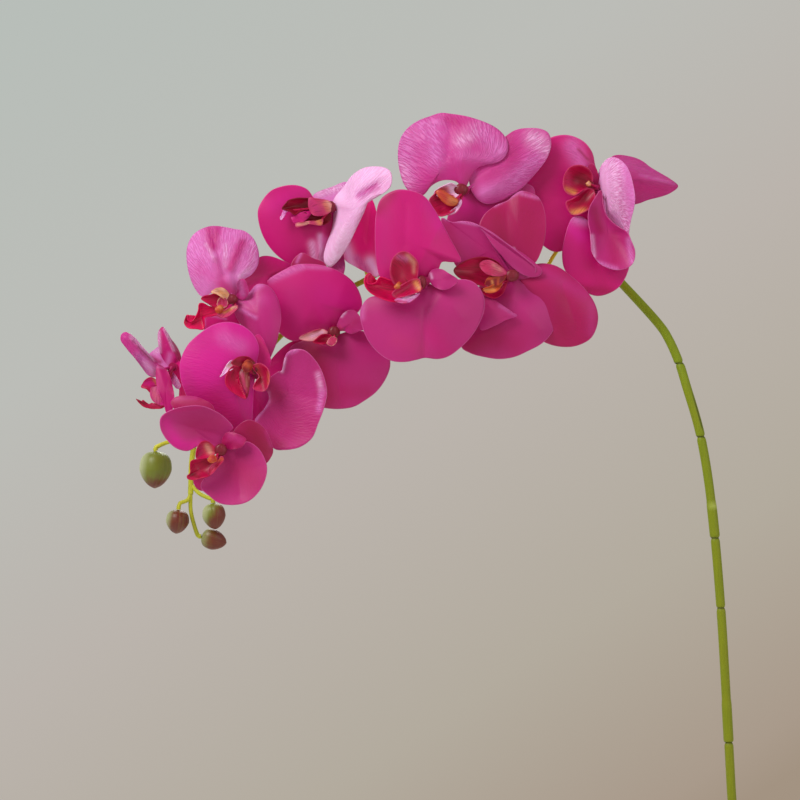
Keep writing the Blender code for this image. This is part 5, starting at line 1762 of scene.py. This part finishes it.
# The pale painted highlight on the upper left of each bud
highlighted = bud_look.mix(bud_look.attribute("sheen", "Fac"), streaked, BUD_LEFT_HIGHLIGHT)
bud_relief = bud_look.bump(lengthwise + mottle * 0.5, 0.0005, 0.45)
bud_material = bud_look.finish(
    Base_Color=highlighted, Roughness=0.46, Normal=bud_relief, Coat_Weight=0.08, Coat_Roughness=0.35)
for number, bud in BUDS.items():
    dress(make_bud(number, bud), bud_material, "bud", "bud_" + number)

# %% [markdown]
# ## The vase
#
# The photograph ends above the vase, so it is a plain one: glazed stoneware, thrown on a wheel, with a
# slim neck and a flat foot. It is modelled the way it is thrown: the ring of the foot is extruded
# upwards and widened or narrowed level by level, over the rim and down inside, then closed at both
# floors. The level's radius comes from one formula, which the inside follows at the wall's thickness.

# %% Vase shape
FOOT_RADIUS = 54.0
BELLY_RADIUS = 62.0
NECK_RADIUS = 21.0
RIM_RADIUS = 25.0
BODY_TOP = 96.0
SHOULDER_TOP = 164.0
VASE_HEIGHT = 200.0
VASE_WALL = 4.0
VASE_FLOOR = 8.0
VASE_SIDES = 96
LEVEL_STEP = 4
RIM_STEPS = 8


def vase_radius(height):
    """Outer radius: an upright body, a rounded shoulder and a slim neck with a small flare."""
    if height < BODY_TOP:
        return FOOT_RADIUS + (BELLY_RADIUS - FOOT_RADIUS) * sin(height / BODY_TOP * pi / 2)
    if height < SHOULDER_TOP:
        turn = (height - BODY_TOP) / (SHOULDER_TOP - BODY_TOP) * pi
        return (BELLY_RADIUS + NECK_RADIUS) / 2 + (BELLY_RADIUS - NECK_RADIUS) / 2 * cos(turn)
    flared = (height - SHOULDER_TOP) / (VASE_HEIGHT - SHOULDER_TOP)
    return NECK_RADIUS + (RIM_RADIUS - NECK_RADIUS) * flared ** 2


def vase_rings():
    """Height and radius of each ring, from the foot up the outside, over the rim and down inside."""
    half_wall = VASE_WALL / 2
    levels = [*range(LEVEL_STEP, int(VASE_HEIGHT) - LEVEL_STEP, LEVEL_STEP), VASE_HEIGHT - half_wall]
    foot = [(0, FOOT_RADIUS - 1.5), (0.4, FOOT_RADIUS - 0.5), (1.5, FOOT_RADIUS)]
    outside = [(level, vase_radius(level)) for level in levels]
    turns = [pi * step / RIM_STEPS for step in range(RIM_STEPS + 1)]
    rim = [(VASE_HEIGHT - half_wall + half_wall * sin(turn), RIM_RADIUS - half_wall + half_wall * cos(turn))
           for turn in turns]
    inside = [(level, vase_radius(level) - VASE_WALL) for level in reversed(levels)
              if level > VASE_FLOOR + 3]
    edge = inside[-1][1]
    floor_curve = [(VASE_FLOOR + 0.6, edge - 1.5), (VASE_FLOOR, edge - 4)]
    return [*foot, *outside[:-1], *rim, *inside[1:], *floor_curve]


# %% Vase, thrown ring by ring
def select_ring(mesh, height):
    """Selects the edges of the ring at this height, from object mode."""
    level = points_of(mesh)[:, 2]
    flat = np.abs(level - height * MM) < 1e-6
    for edge in mesh.edges:
        edge.select = bool(flat[edge.vertices[0]] and flat[edge.vertices[1]])


def make_vase():
    """The vase, from the ring of its foot."""
    rings = vase_rings()
    deselect()
    bpy.ops.mesh.primitive_circle_add(
        vertices=VASE_SIDES, radius=rings[0][1] * MM, fill_type="NOTHING", location=(0, 0, 0))
    made = bpy.context.object
    bpy.ops.object.mode_set(mode="EDIT")
    bpy.ops.mesh.select_mode(type="EDGE")
    bpy.ops.mesh.select_all(action="SELECT")
    for (low, before), (high, after) in zip(rings, rings[1:]):
        bpy.ops.mesh.extrude_edges_move(TRANSFORM_OT_translate={"value": (0, 0, (high - low) * MM)})
        grown = after / before
        bpy.ops.transform.resize(value=(grown, grown, 1), center_override=(0, 0, high * MM))
    bpy.ops.mesh.edge_face_add()
    bpy.ops.mesh.select_all(action="DESELECT")
    bpy.ops.object.mode_set(mode="OBJECT")
    select_ring(made.data, 0)
    bpy.ops.object.mode_set(mode="EDIT")
    bpy.ops.mesh.edge_face_add()
    bpy.ops.mesh.select_all(action="SELECT")
    bpy.ops.mesh.normals_make_consistent(inside=False)
    bpy.ops.object.mode_set(mode="OBJECT")
    bpy.ops.object.shade_smooth_by_angle(angle=radians(40))
    made.name = made.data.name = "thrown_vase"
    return made


# %% Vase glaze
GLAZE_DARK = colour(214, 208, 196)
GLAZE_LIGHT = colour(232, 228, 219)
SPECK = colour(140, 122, 100)
SPECK_STEP = (0.68, 0.74)
SPECK_SHARE = 0.5
BARE_CLAY = colour(196, 178, 152)
# The glaze ends above the foot, at this height in metres
GLAZE_ENDS = (0.0042, 0.0034)

vase_look = new_surface("speckled glaze")
place = vase_look.place()
x, y, z = vase_look.split(place)
turning = vase_look.noise(vase_look.vector(x * 4, y * 4, z * 260), 1.0, 2.0)
flow = vase_look.noise(vase_look.vector(x * 30, y * 30, z * 9), 1.0, 3.0)
speck = vase_look.step(vase_look.noise(place, 900.0, 1.0), *SPECK_STEP)
glaze = vase_look.mix(flow, GLAZE_DARK, GLAZE_LIGHT)
speckled = vase_look.mix(speck * SPECK_SHARE, glaze, SPECK)
bare = vase_look.step(z, *GLAZE_ENDS)
footed = vase_look.mix(bare, speckled, BARE_CLAY)
vase_relief = vase_look.bump(turning + flow * 0.6, 0.0006, 0.35)
vase_material = vase_look.finish(Base_Color=footed, Roughness=0.26 + bare * 0.5, Normal=vase_relief)
dress(make_vase(), vase_material, "vase", "vase")

# %% [markdown]
# ## The water
#
# The water's solid already has its true shape, with the hole where the stem stands, so it stays and
# only gets a clear finish.

# %% Water
water_look = new_surface("clear water")
calm = water_look.bump(water_look.noise(water_look.place(), 60.0, 2.0), 0.0002, 0.3)
water_material = water_look.finish(
    Base_Color=colour(232, 242, 242), Roughness=0.03, Normal=calm, Transmission_Weight=0.9, IOR=1.33)
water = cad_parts["water"]
for slot in water.material_slots:
    slot.material = water_material
